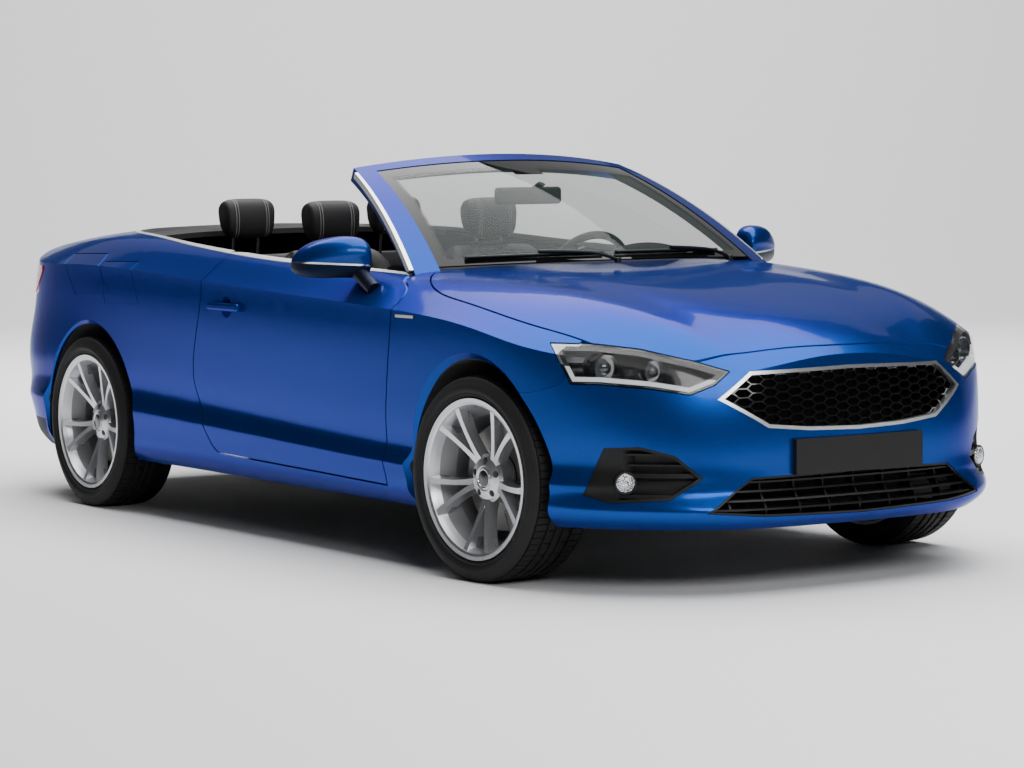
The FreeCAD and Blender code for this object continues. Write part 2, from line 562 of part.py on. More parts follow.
# Fog lamp inserts: a set-back panel with bars, a raised outer post and a round lamp
FOG_RIM = 9.0
FOG_FACE = 34.0
FOG_BACK = 52.0
FOG_BAR_SHARES = ((0.316, 0.321), (0.293, 0.297), (0.267, 0.277), (0.222, 0.230))
FOG_POST_SHARE = 0.876
FOG_LAMP_SHARES = (0.882, 0.773, 0.256)
FOG_LAMP_RADIUS = 30.0
FOG_LAMP_DEPTH = 40.0
FOG_LAMP_RIM = 5.0
FOG_LAMP_SET = 6.0
FOG_LAMP_WAY_SHARE = 0.35
FOG_BLOCK_SHARES = ((0.80, 1.0), (0.50, 0.96), (0.15, 0.40))
fog_block = share_block(*FOG_BLOCK_SHARES)
fog_skins = {depth: body_solid(depth).common(fog_block)
             for depth in (TRIM_PROUD, FOG_RIM + TRIM_PROUD, FOG_FACE, FOG_BACK)}
outline = through(FOG_SHARES, CORNER_WAY, LEFT)
inner = through(FOG_SHARES, CORNER_WAY, LEFT, -FOG_RIM)
rim_piece = fog_skins[TRIM_PROUD].cut(fog_skins[FOG_BACK]).common(outline)
bar_piece = fog_skins[FOG_RIM + TRIM_PROUD].cut(fog_skins[FOG_BACK]).common(outline)
face_piece = fog_skins[FOG_FACE].cut(fog_skins[FOG_BACK]).common(outline)
x, y, _ = FOG_BLOCK_SHARES
bars = Part.makeCompound([share_block(x, y, span) for span in FOG_BAR_SHARES])
post = share_block((x[0], FOG_POST_SHARE), y, (0.0, 0.5))
centre = at(*FOG_LAMP_SHARES)
way = Vector(NOSE_WAY.x, FOG_LAMP_WAY_SHARE, 0).normalize()
cup = rod(FOG_LAMP_RADIUS + FOG_LAMP_RIM, centre - way * FOG_LAMP_DEPTH, centre)
cup = cup.cut(fog_skins[FOG_BACK]).common(outline)
hollow = rod(FOG_LAMP_RADIUS, centre - way * FOG_LAMP_SET, centre + way * FOG_BACK)
insert = face_piece.multiFuse([rim_piece.cut(inner), bar_piece.common(bars),
                               rim_piece.common(post), cup]).cut(hollow)
save("fog_inserts", mirrored(largest(insert)), largest(insert))

# The grille: a bright frame round a honeycomb of long six-sided cells
FRAME_WIDTH = 11.0
FRAME_PROUD = 3.0
FRAME_DEPTH = 20.0
MESH_FACE = 14.0
MESH_BACK = 34.0
CELL_LENGTH = 58.0
CELL_HEIGHT = 27.0
CELL_TIP = 14.0
CELL_WALL = 3.6
ring = through(GRILLE_SHARES, NOSE_WAY, 0, -SEAT_GAP).cut(through(GRILLE_SHARES, NOSE_WAY, 0, -FRAME_WIDTH))
grille_frame = body_solid(-FRAME_PROUD).common(ring).cut(body_solid(FRAME_DEPTH))
save("grille_frame", largest(grille_frame))
mesh_plate = body_solid(MESH_FACE).common(
    through(GRILLE_SHARES, NOSE_WAY, 0, -FRAME_WIDTH - SEAT_GAP)).cut(body_solid(MESH_BACK))
bounds = mesh_plate.BoundBox
across_step = CELL_LENGTH - CELL_TIP
half_long = CELL_LENGTH / 2 - CELL_WALL / 2
half_high = CELL_HEIGHT / 2 - CELL_WALL / 2
cells = []
columns = int(bounds.YMax / across_step) + 1
rows = int(bounds.ZLength / CELL_HEIGHT) + 2
for i in range(-columns, columns + 1):
    for j in range(rows):
        y = i * across_step
        z = bounds.ZMin + (j + (i % 2) / 2) * CELL_HEIGHT
        corners = [(-half_long, 0.0), (-half_long + CELL_TIP, half_high), (half_long - CELL_TIP, half_high),
                   (half_long, 0.0), (half_long - CELL_TIP, -half_high), (-half_long + CELL_TIP, -half_high)]
        ring = [Vector(bounds.XMin - FRAME_DEPTH, y + dy, z + dz) for dy, dz in corners]
        face = Part.Face(Part.makePolygon(ring + ring[:1]))
        cells.append(face.extrude(Vector(bounds.XLength + 2 * FRAME_DEPTH, 0, 0)))
save("grille", largest(mesh_plate.cut(Part.makeCompound(cells))))

# The lower intake: three bars and upright ribs behind them
BAR_SHARES = ((0.194, 0.198), (0.213, 0.217), (0.233, 0.237), (0.253, 0.257))
RIB_SHARES = (-0.50, -0.38, -0.25, -0.13, 0.0, 0.13, 0.25, 0.38, 0.50)
RIB_THICKNESS = 6.0
BAR_FACE = 12.0
RIB_FACE = 26.0
INTAKE_BACK = 62.0
INTAKE_RIM = 7.0
outline = through(INTAKE_SHARES, NOSE_WAY, 0, -SEAT_GAP)
inner = through(INTAKE_SHARES, NOSE_WAY, 0, -INTAKE_RIM)
back = body_solid(INTAKE_BACK)
BAR_REACH_SHARES = ((0.9, 1.1), (-1.0, 1.0))
bars = Part.makeCompound([share_block(*BAR_REACH_SHARES, span) for span in BAR_SHARES])
ribs = Part.makeCompound([
    block((HALF_LENGTH / 2, LENGTH), (share * HALF_WIDTH - RIB_THICKNESS / 2,
                                      share * HALF_WIDTH + RIB_THICKNESS / 2), (0.0, LID_LOW))
    for share in RIB_SHARES])
intake_rim = body_solid(TRIM_PROUD).common(outline).cut(inner).cut(back)
intake_bars = body_solid(BAR_FACE).common(outline).common(bars).cut(back)
intake_ribs = body_solid(RIB_FACE).common(outline).common(ribs).cut(back)
save("lower_grille", largest(intake_rim.multiFuse([intake_bars, intake_ribs])))

# The door cards close the doors on the inside, set in from the skin's edge all round
CARD_INSET = 30.0
CARD_Y = 745.0
CARD_TOP_SHARE = 0.700
for name, side in SIDES:
    outside = block((-LENGTH, LENGTH), sorted((side * CARD_Y, side * FAR)), (0.0, CARD_TOP_SHARE * HEIGHT))
    card = INNER.common(outside)
    for way in (Vector(CARD_INSET, 0, 0), Vector(-CARD_INSET, 0, 0), Vector(0, 0, CARD_INSET)):
        card = card.common(door_tool(side).translated(way))
    save("door_card_" + name, largest(card.cut(TRIM_TOOL)))

# The tail lamps wrap round the rear corners
tail = OUTER.common(through(TAIL_SHARES, TAIL_WAY, LEFT)).cut(body_solid(LAMP_DEPTH))
save("tail_lamps", mirrored(largest(tail)), largest(tail))

# Recesses for the tailpipes in the rear bumper
TAIL_CUT_SHARES = ((-1.1, -0.8), (0.500, 0.730), (0.0, 0.186))
for _, side in SIDES:
    x, y, z = TAIL_CUT_SHARES
    rear = rear.cut(share_block(x, sorted((side * y[0], side * y[1])), z))
save("bumper_rear", largest(rear))
for name, panel in panels.items():
    save(name, largest(panel))

# The tub: floor, sills, wheelhouses, firewall and the frame behind the skin, with four
# pads under the sills where a jack goes
CABIN_REAR = -1160.0
CABIN_FRONT = 925.0
CABIN_FLOOR = 255.0
DECK_LOW_SHARE = 0.674
ENGINE_BAY_SHARES = ((0.4325, 0.8908), (-0.5081, 0.5081), (0.0, 1.0))
BOOT_SHARES = ((-0.9165, -0.6852), (-0.6054, 0.6054), (0.2391, 1.0))
UNDERBODY_SHARES = ((-0.4283, 0.4625), (-0.6054, 0.6054), (0.1087, 0.1558))
NOSE_SPACE_SHARES = ((0.8394, 1.0278), (-0.973, 0.973), (0.0, 1.0))
TAIL_SPACE_SHARES = ((-1.0278, -0.9165), (-0.6703, 0.6703), (0.0, 1.0))
HOUSE_WALL = 5.0
PAD_X_SHARES = ((0.4004, 0.4304), (-0.3490, -0.3190))
PAD_Y_SHARES = (0.8270, 0.9027)
PAD_SHARES = (0.1442, 0.1600)
DECK_LOW = DECK_LOW_SHARE * HEIGHT
cabin_space = plan_view(CABIN_PLAN_SHARES, CABIN_FLOOR, HEIGHT).common(
    block((CABIN_REAR, CABIN_FRONT), (-CARD_Y, CARD_Y), (CABIN_FLOOR, HEIGHT)))
houses = [
    Part.makeCylinder(ARCH_RADIUS + HOUSE_WALL, FAR,
                      Vector(REAR_AXLE, side * (REAR_WELL_INNER - HOUSE_WALL), TYRE_RADIUS),
                      Vector(0, side, 0))
    for _, side in SIDES]
cabin_space = cabin_space.cut(houses)
upper_space = plan_view(CABIN_PLAN_SHARES, DECK_LOW, HEIGHT, TRIM_WIDTH + SEAT_GAP)
ENGINE_BAY = share_block(*ENGINE_BAY_SHARES)
pads = [share_block(span, sorted((side * PAD_Y_SHARES[0], side * PAD_Y_SHARES[1])), PAD_SHARES)
        for span in PAD_X_SHARES for _, side in SIDES]
tub = TUB_SKIN.multiFuse([share_block(*UNDERBODY_SHARES)] + pads)
spaces = [ENGINE_BAY, share_block(*BOOT_SHARES), cabin_space, upper_space,
          share_block(*NOSE_SPACE_SHARES), share_block(*TAIL_SPACE_SHARES)] + WELLS
for name, side in SIDES:
    spaces += [door_tool(side, PANEL_GAP), through(LAMP_SHARES, CORNER_WAY, side, SEAT_GAP),
               through(FOG_SHARES, CORNER_WAY, side, SEAT_GAP),
               through(TAIL_SHARES, TAIL_WAY, side, SEAT_GAP)]
tub = tub.cut(spaces)

# It is welded up from three sections, split at the firewall and behind the rear seats
SECTIONS = (("tub_front", (CABIN_FRONT + SEAT_GAP, LENGTH)), ("cabin_tub", (CABIN_REAR, CABIN_FRONT)),
            ("tub_rear", (-LENGTH, CABIN_REAR - SEAT_GAP)))
for name, span in SECTIONS:
    save(name, largest(tub.common(block(span, (-FAR, FAR), (0.0, HEIGHT)))))

# The stowed top lies under a flat cover behind the rear seats
COVER_DEPTH = TRIM_DEPTH + SEAT_GAP
COVER_THICKNESS = 20.0
cover = layer(COVER_DEPTH, COVER_DEPTH + COVER_THICKNESS).common(CABIN_TOOL)
cover = cover.common(block((-LENGTH, CABIN_REAR), (-FAR, FAR), (DECK_LOW, HEIGHT)))
save("top_cover", largest(cover))

# A radiator closes the view through the grilles, held between the engine bay's walls
RADIATOR_SHARES = ((0.8116, 0.8373), (-0.5078, 0.5078), (0.1558, 0.5072))
save("radiator", share_block(*RADIATOR_SHARES))

# The windscreen and its frame follow one curved sheet, from the scuttle to the header.
# Across it runs from -1 to 1 at the glass's edges, and up it from 0 at the base to 1.
SCREEN_BASE_SHARES = (0.4497, 0.0, 0.7138)
SCREEN_TOP_SHARES = (0.1413, 0.0, 0.9674)
BASE_HALF_WIDTH = 655.0
TOP_HALF_WIDTH = 522.0
BASE_SWEEP = 150.0
TOP_SWEEP = 62.0
BASE_DROP = 12.0
TOP_DROP = 34.0
SCREEN_BOW = 26.0
PILLAR_SHARE = 1.12
PILLAR_DEPTH = 46.0
FRAME_OUT = 5.0
HEADER_SHARE = 1.07
GLASS_TOP_SHARE = 0.985
GLASS_LOW_SHARE = 0.02
SCREEN_BASE = at(*SCREEN_BASE_SHARES)
SCREEN_TOP = at(*SCREEN_TOP_SHARES)


def screen_point(across, up, out=0.0):
    """A point of the windscreen sheet, moved outwards by out."""
    base = SCREEN_BASE + Vector(-BASE_SWEEP * across ** 2, BASE_HALF_WIDTH * across,
                                -BASE_DROP * across ** 2)
    top = SCREEN_TOP + Vector(-TOP_SWEEP * across ** 2, TOP_HALF_WIDTH * across,
                              -TOP_DROP * across ** 2)
    slope = (SCREEN_TOP - SCREEN_BASE).normalize()
    normal = Vector(slope.z, 0, -slope.x)
    bow = 4 * SCREEN_BOW * up * (1 - up)
    return base + (top - base) * up + normal * (bow + out)


ACROSS_SHARES = (-1.0, -0.6, -0.2, 0.2, 0.6, 1.0)
UP_SHARES = (0.0, 0.25, 0.5, 0.75, 1.0)


def screen_sheet(width, low, high, out):
    """The windscreen's sheet between two heights, as wide as width."""
    rows = [[screen_point(width * across, between(low, high, up), out) for across in ACROSS_SHARES]
            for up in UP_SHARES]
    sheet = Part.BSplineSurface()
    sheet.interpolate(rows)
    return sheet


def screen_solid(width, low, high, inside, outside):
    """A solid between two such sheets."""
    faces = [screen_sheet(width, low, high, out).toShape() for out in (inside, outside)]
    for a, b in zip(faces[0].Edges, faces[1].Edges):
        faces.append(Part.makeRuledSurface(a, b))
    shell = Part.makeShell(faces)
    shell.sewShape()
    solid = Part.makeSolid(shell)
    return solid if solid.Volume > 0 else solid.reversed()


SEAT_SHARE = SEAT_GAP / BASE_HALF_WIDTH
STRIP_SHARE = 0.020
STRIP_BELOW = 16.0
STRIP_TOP_SHARE = 1.0
FRAME_LOW_SHARE = -0.05
CUT_LOW_SHARE = -0.2
CUT_TOP_SHARE = HEADER_SHARE - CUT_LOW_SHARE
CUT_REACH = 3 * PILLAR_DEPTH
glass = screen_solid(1.0, GLASS_LOW_SHARE, GLASS_TOP_SHARE, -GLASS / 2, GLASS / 2)
frame = screen_solid(PILLAR_SHARE, FRAME_LOW_SHARE, HEADER_SHARE, -PILLAR_DEPTH, FRAME_OUT)
frame = frame.cut(screen_solid(1.0 + SEAT_SHARE, CUT_LOW_SHARE, GLASS_TOP_SHARE, -CUT_REACH, CUT_REACH))
above_body = body_solid(-SEAT_GAP)
over_doors = [body_solid(-TRIM_PROUD - PANEL_GAP).common(door_tool(side, PANEL_GAP))
              for _, side in SIDES]
frame = frame.cut([above_body] + over_doors)
save("windscreen_frame", largest(frame))
save("windscreen_glass", largest(glass.cut(above_body)))
strips = screen_solid(PILLAR_SHARE + STRIP_SHARE, 0.0, STRIP_TOP_SHARE, -STRIP_BELOW, FRAME_OUT)
strips = strips.cut(screen_solid(PILLAR_SHARE + SEAT_SHARE, CUT_LOW_SHARE, CUT_TOP_SHARE, -PILLAR_DEPTH,
                                 PILLAR_DEPTH)).cut([body_solid(-TRIM_PROUD - SEAT_GAP)] + over_doors)
strip_pair = sorted(strips.Solids, key=lambda solid: -solid.Volume)[:2]
save("pillar_trim", *strip_pair)

# The dashboard, the console and what stands on them
DASH_HALF_WIDTH = 700.0
DASH_SHARES = [
    [(0.368, 0.640), (0.368, 0.700)],
    [(0.368, 0.700), (0.330, 0.712), (0.262, 0.698), (0.240, 0.668)],
    [(0.240, 0.668), (0.255, 0.600), (0.275, 0.480)],
    [(0.275, 0.480), (0.368, 0.480)],
    [(0.368, 0.480), (0.368, 0.640)]]
dash = side_view(DASH_SHARES, -DASH_HALF_WIDTH, DASH_HALF_WIDTH).cut(frame)
STEERING_SHARES = (0.1195, 0.4, 0.65)
STEERING_RADIUS = 176.0
STEERING_GRIP = 15.0
COLUMN_ANGLE = 25.0
COLUMN_WAY = Vector(-math.cos(math.radians(COLUMN_ANGLE)), 0, math.sin(math.radians(COLUMN_ANGLE)))
STEERING_CENTRE = at(*STEERING_SHARES)
SHROUD_RADIUS = 42.0
SHROUD_START = 90.3
SHROUD_END = 400.0
BINNACLE_SHARES = (0.285, 0.4, 0.700)
BINNACLE_SIZE = (110.0, 175.0, 70.0)
shroud = rod(SHROUD_RADIUS, STEERING_CENTRE - COLUMN_WAY * SHROUD_START,
             STEERING_CENTRE - COLUMN_WAY * SHROUD_END)
stretch = FreeCAD.Matrix()
stretch.scale(*BINNACLE_SIZE)
binnacle = Part.makeSphere(1.0).transformGeometry(stretch).translated(at(*BINNACLE_SHARES))
dash = dash.fuse(shroud).fuse(binnacle)
console_foot = (CABIN_FLOOR + SEAT_GAP) / HEIGHT
save("dashboard", largest(dash.cut(screen_solid(1.0, CUT_LOW_SHARE, 1.0, -GLASS, CUT_REACH))))
HUB_FRONT = 5.0
HUB_BACK = 40.0
HUB_SIZE = 58.0
SHAFT_RADIUS = 34.0
SHAFT_END = 90.0
ARM_RADIUS = 11.0
ARM_BACK = 20.0
wheel_rim = Part.makeTorus(STEERING_RADIUS, STEERING_GRIP, STEERING_CENTRE, COLUMN_WAY)
wheel_hub = rod(HUB_SIZE, STEERING_CENTRE - COLUMN_WAY * HUB_BACK, STEERING_CENTRE - COLUMN_WAY * HUB_FRONT)
wheel_shaft = rod(SHAFT_RADIUS, STEERING_CENTRE - COLUMN_WAY * SHAFT_END,
                  STEERING_CENTRE - COLUMN_WAY * ARM_BACK)
spoke_down = Vector(-COLUMN_WAY.z, 0, COLUMN_WAY.x)
arms = []
for way in (Vector(0, 1, 0), Vector(0, -1, 0), spoke_down):
    arms.append(rod(ARM_RADIUS, STEERING_CENTRE - COLUMN_WAY * ARM_BACK,
                    STEERING_CENTRE + way * STEERING_RADIUS))
save("steering_wheel", wheel_rim.multiFuse([wheel_hub, wheel_shaft] + arms))
CONSOLE_HALF_WIDTH = 95.0
CONSOLE_SHARES = [
    [(0.2735, console_foot), (0.2735, 0.478)],
    [(0.2735, 0.478), (0.180, 0.400), (0.080, 0.395)],
    [(0.080, 0.395), (-0.120, 0.420)],
    [(-0.120, 0.420), (-0.150, 0.400)],
    [(-0.150, 0.400), (-0.150, console_foot)],
    [(-0.150, console_foot), (0.2735, console_foot)]]
save("centre_console", side_view(CONSOLE_SHARES, -CONSOLE_HALF_WIDTH, CONSOLE_HALF_WIDTH))

# Seats: a cushion, a leaning back and a headrest on two posts
SEAT_Y = 350.0
SEAT_WIDTH = 500.0
SEAT_FLOOR = CABIN_FLOOR + SEAT_GAP
SEAT_ROUND = 24.0
HEAD_WIDTH = 226.0
HEAD_ROUND = 24.0
POST_RADIUS = 7.0
POST_SPREAD = 55.0
CUSHION_SHARES = [
    (-0.0557, 0.2391), (0.1627, 0.2609), (0.182, 0.3043), (0.1627, 0.3442), (-0.0257, 0.3188),
    (-0.0557, 0.3043)]
BACK_SHARES = [
    (-0.0257, 0.2899), (-0.0749, 0.2609), (-0.167, 0.6957), (-0.1606, 0.7319), (-0.1306, 0.7319),
    (-0.1122, 0.7065), (-0.0557, 0.4058)]
HEAD_SHARES = [
    (-0.1251, 0.7464), (-0.1478, 0.7428), (-0.1713, 0.7681), (-0.1722, 0.8442), (-0.1593, 0.8638),
    (-0.1413, 0.8623), (-0.1251, 0.8333)]
SEAT_BASE_SHARES = ((-0.0642, 0.1413), (-0.205, 0.205), (SEAT_FLOOR / HEIGHT, 0.2536))
POST_SHARES = [(-0.1478, 0.7101), (-0.1507, 0.779)]


def slab(shares, centre, width, radius):
    """A side profile carried across the car, with all edges rounded."""
    points = [Vector(x * HALF_LENGTH, centre - width / 2, z * HEIGHT) for x, z in shares]
    return rounded(Part.Face(Part.makePolygon(points + points[:1])).extrude(Vector(0, width, 0)), radius)


def posts(shares, centre):
    """The two posts of a headrest."""
    low, high = [Vector(x * HALF_LENGTH, 0, z * HEIGHT) for x, z in shares]
    return [rod(POST_RADIUS, low + Vector(0, centre + k * POST_SPREAD, 0),
                high + Vector(0, centre + k * POST_SPREAD, 0)) for k in (-1, 1)]


for name, side in SIDES:
    y = side * SEAT_Y
    cushion = slab(CUSHION_SHARES, y, SEAT_WIDTH, SEAT_ROUND)
    back = slab(BACK_SHARES, y, SEAT_WIDTH, SEAT_ROUND)
    head = slab(HEAD_SHARES, y, HEAD_WIDTH, HEAD_ROUND)
    base = share_block(*SEAT_BASE_SHARES).translated(Vector(0, y, 0))
    seat = base.multiFuse([cushion, back, head] + posts(POST_SHARES, y))
    save("seat_front_" + name, largest(seat))
REAR_WIDTH = 1060.0
REAR_HEAD_Y = 335.0
REAR_CUSHION_SHARES = [
    (-0.394, 0.2174), (-0.2013, 0.2174), (-0.1927, 0.2899), (-0.2056, 0.3116), (-0.3854, 0.2899)]
REAR_BACK_SHARES = [
    (-0.3769, 0.2754), (-0.4325, 0.2754), (-0.4754, 0.6812), (-0.4668, 0.7065), (-0.4347, 0.6993)]
REAR_HEAD_SHARES = [
    (-0.4146, 0.7355), (-0.4411, 0.7319), (-0.4574, 0.7609), (-0.4565, 0.8442), (-0.4454, 0.8623),
    (-0.4283, 0.8609), (-0.4133, 0.8333)]
REAR_BASE_SHARES = ((-0.3854, -0.2227), (-0.5189, 0.5189), (SEAT_FLOOR / HEIGHT, 0.2391))
REAR_POST_SHARES = [(-0.4475, 0.6884), (-0.4368, 0.7754)]
rear_parts = [slab(REAR_BACK_SHARES, 0.0, REAR_WIDTH, SEAT_ROUND), share_block(*REAR_BASE_SHARES)]
for _, side in SIDES:
    y = side * REAR_HEAD_Y
    rear_parts.append(slab(REAR_HEAD_SHARES, y, HEAD_WIDTH, HEAD_ROUND))
    rear_parts += posts(REAR_POST_SHARES, y)
rear_seat = slab(REAR_CUSHION_SHARES, 0.0, REAR_WIDTH, SEAT_ROUND).multiFuse(rear_parts)
save("rear_seat", largest(rear_seat))

# Drive train: one plain block for the engine, with the frames that carry the wheels
ENGINE_SHARES = ((0.5525, 0.8051), (-0.2919, 0.2919), (0.1558, 0.5652))
SUBFRAME_SHARES = ((0.5696, 0.6938), (-0.4973, 0.4973), (0.1159, 0.1556))
EAR_SHARES = (-0.5276, 0.5276)
ARM_SHARES = (0.5996, 0.6681)
ARM_INNER_SHARE = 0.4757
ARM_Z = 184.0
ARM_SIZE = 20.0
PIN_RADIUS = 14.0
PIN_TOP = 206.0
HUB_RADIUS = 32.0
KINGPIN_Y = 742.0
KNUCKLE_HALF = 28.0
KNUCKLE_TOP = 470.0
KNUCKLE_IN = 26.0
KNUCKLE_OUT = 8.0
STUB_IN = 20.0
STUB_OUT = 30.0
save("engine_block", share_block(*ENGINE_SHARES))
subframe = share_block(*SUBFRAME_SHARES)
ears = block([share * HALF_LENGTH for share in SUBFRAME_SHARES[0]],
             [share * HALF_WIDTH for share in EAR_SHARES],
             (SUBFRAME_SHARES[2][0] * HEIGHT, LEVEL_SHARES[0][0] * HEIGHT - SEAT_GAP))
subframe = subframe.fuse(ears)
for _, side in SIDES:
    pin = Vector(FRONT_AXLE, side * KINGPIN_Y, ARM_Z)
    for share in ARM_SHARES:
        root = Vector(share * HALF_LENGTH, side * ARM_INNER_SHARE * HALF_WIDTH, ARM_Z)
        subframe = subframe.fuse(rod(ARM_SIZE, root, pin))
    subframe = subframe.fuse(rod(PIN_RADIUS, pin, Vector(pin.x, pin.y, PIN_TOP)))
save("front_subframe", subframe)
AXLE_BEAM_SHARES = ((-0.6039, -0.5011), (-0.5189, 0.5189), (0.1087, 0.1498))
LINK_SIZE = 18.0
LINK_Z = 184.0
CARRIER_RADIUS = 70.0
CARRIER_IN = 100.0
CARRIER_OUT = 50.0
LINK_SHARES = (0.4973, 0.7157, 0.7697)
LINK_TOP = 300.0
AXLE_STUB_OUT = 10.0
rear_axle = share_block(*AXLE_BEAM_SHARES)
for _, side in SIDES:
    ends = [Vector(REAR_AXLE, side * share * HALF_WIDTH, LINK_Z) for share in LINK_SHARES]
    ends[2].z = LINK_TOP
    hub_in = Vector(REAR_AXLE, side * (REAR_TRACK / 2 - CARRIER_IN), TYRE_RADIUS)
    hub_out = Vector(REAR_AXLE, side * (REAR_TRACK / 2 - CARRIER_OUT), TYRE_RADIUS)
    stub_end = Vector(REAR_AXLE, side * (REAR_TRACK / 2 + AXLE_STUB_OUT), TYRE_RADIUS)
    for piece in (rod(LINK_SIZE, ends[0], ends[1]), rod(LINK_SIZE, ends[1], ends[2]),
                  rod(CARRIER_RADIUS, hub_in, hub_out), rod(HUB_RADIUS, hub_in, stub_end)):
        rear_axle = rear_axle.fuse(piece)
save("rear_axle", rear_axle)

# Wheels
RUNNING_FIT = 0.05
# Half sections in shares of the tyre's radius and of half its width
TYRE_SHARES = [
    (0.7292, -0.8163), (0.7867, -0.8163), (0.815, -0.95), (0.862, -1.0), (0.926, -0.9714),
    (0.974, -0.8816), (0.996, -0.79), (1.0, -0.65), (1.0, 0.65), (0.996, 0.79), (0.974, 0.8816),
    (0.926, 0.9714), (0.862, 1.0), (0.815, 0.95), (0.7867, 0.8163), (0.7292, 0.8163)]
RIM_SHARES = [
    (0.7292, -0.8163), (0.7831, -0.8163), (0.7831, -0.9143), (0.7564, -0.9143), (0.7141, -0.8),
    (0.6203, -0.4898), (0.6203, 0.1633), (0.702, 0.7347), (0.722, 0.86), (0.745, 0.90),
    (0.7831, 0.9143), (0.7831, 0.8163), (0.7292, 0.8163), (0.7292, 0.4898), (0.6475, 0.1633),
    (0.6475, -0.4898), (0.7292, -0.6531)]
HUB_SHARES = [
    (0.0, 0.0816), (0.236, 0.0816), (0.236, 0.40), (0.205, 0.47), (0.125, 0.53), (0.115, 0.515),
    (0.105, 0.535), (0.0, 0.565), (0.0, 0.3265)]
DISC_SHARES = [
    (0.0, -0.1143), (0.242, -0.1143), (0.242, -0.2449), (0.5204, -0.2449), (0.5204, -0.0327),
    (0.242, -0.0327), (0.242, 0.0792), (0.0, 0.0792)]
SPOKE_PAIRS = 5
SPOKE_LEANS = (5.5, 13.5)
SPOKE_ROOT_SHARES = (0.19, 0.052, 0.15, 0.46)
SPOKE_MIDDLE_SHARES = (0.45, 0.040, 0.36, 0.66)
SPOKE_END_SHARES = (0.7245, 0.052, 0.50, 0.84)
SPOKE_TOP = 0.62
SPOKE_TURN = 90.0
BORE_SHARE = 0.1633
BOLT_CIRCLE = 56.0
BOLT_RADIUS = 11.0
BOLT_LOW = 24.0


def revolved(shares, centre, way, bore=0.0):
    """A ring from a half section of radius and offset shares, with a bore for the axle."""
    points = [Vector(max(r * TYRE_RADIUS, bore), 0, w * TYRE_WIDTH / 2) for r, w in shares]
    face = Part.Face(Part.makePolygon(points + points[:1]))
    ring = face.revolve(Vector(0, 0, 0), Vector(0, 0, 1), 360)
    ring.Placement = FreeCAD.Placement(centre, FreeCAD.Rotation(Vector(0, 0, 1), way))
    return ring


def spoke(centre, turn, middle_angle, lean):
    """One spoke, swept through a root, a middle and an end section."""
    ends = []
    for shares, spread in ((SPOKE_ROOT_SHARES, SPOKE_LEANS[0]),
                           (SPOKE_MIDDLE_SHARES, sum(SPOKE_LEANS) / 2),
                           (SPOKE_END_SHARES, SPOKE_LEANS[1])):
        radius, width, low, high = shares
        angle = math.radians(middle_angle + lean * spread)
        along = Vector(math.cos(angle), math.sin(angle), 0)
        aside = Vector(-math.sin(angle), math.cos(angle), 0)
        corners = [along * radius * TYRE_RADIUS + aside * (k * width * TYRE_RADIUS)
                   + Vector(0, 0, h * TYRE_WIDTH / 2)
                   for k, h in ((-1, low), (1, low), (SPOKE_TOP, high), (-SPOKE_TOP, high))]
        ends.append(Part.makePolygon([turn.multVec(c) + centre for c in corners + corners[:1]]))
    return Part.makeLoft(ends, True, False)


def wheel():
    """A tyre, its rim with five pairs of spokes and the brake disc behind, facing +Y at zero."""
    centre, way = Vector(0, 0, 0), Vector(0, 1, 0)
    tyre = revolved(TYRE_SHARES, centre, way)
    bore = HUB_RADIUS + RUNNING_FIT
    hub = revolved(HUB_SHARES, centre, way)
    hub = hub.cut(rod(bore, centre, centre + way * (BORE_SHARE * TYRE_WIDTH)))
    turn = FreeCAD.Rotation(Vector(0, 0, 1), way)
    parts = [hub] + [spoke(centre, turn, SPOKE_TURN + 360.0 / SPOKE_PAIRS * i, lean)
                     for i in range(SPOKE_PAIRS) for lean in (-1, 1)]
    rim = revolved(RIM_SHARES, centre, way).multiFuse(parts)
    bolts = []
    for i in range(SPOKE_PAIRS):
        angle = math.radians(SPOKE_TURN + 360.0 / SPOKE_PAIRS * (i + 0.5))
        foot = turn.multVec(Vector(math.cos(angle) * BOLT_CIRCLE, math.sin(angle) * BOLT_CIRCLE, BOLT_LOW))
        bolts.append(rod(BOLT_RADIUS, foot, foot + way * TYRE_WIDTH))
    return tyre, largest(rim.cut(bolts)), revolved(DISC_SHARES, centre, way, bore)


KNUCKLE_LOW = 206.3
WHEEL = wheel()
for end, axle, track in (("front", FRONT_AXLE, FRONT_TRACK), ("rear", REAR_AXLE, REAR_TRACK)):
    for name, side in SIDES:
        centre = Vector(axle, side * track / 2, TYRE_RADIUS)
        kingpin = Vector(axle, side * KINGPIN_Y, TYRE_RADIUS)
        solids = [solid.copy() if side == LEFT else mirrored(solid) for solid in WHEEL]
        for solid in solids:
            solid.translate(centre)
        if end == "front":
            for solid in solids:
                solid.rotate(kingpin, Vector(0, 0, 1), REST_STEER)
            stub = rod(HUB_RADIUS, Vector(axle, side * (KINGPIN_Y - STUB_IN), TYRE_RADIUS),
                       Vector(axle, side * (track / 2 + STUB_OUT), TYRE_RADIUS))
            upright = block((axle - KNUCKLE_HALF, axle + KNUCKLE_HALF),
                            sorted((side * (KINGPIN_Y - KNUCKLE_IN), side * (KINGPIN_Y + KNUCKLE_OUT))),
                            (KNUCKLE_LOW, KNUCKLE_TOP))
            knuckle = upright.fuse(stub)
            knuckle.rotate(kingpin, Vector(0, 0, 1), REST_STEER)
            save("knuckle_" + name, knuckle)
        save("wheel_" + end + "_" + name + "_tyre", solids[0])
        save("wheel_" + end + "_" + name + "_rim", solids[1], solids[2])

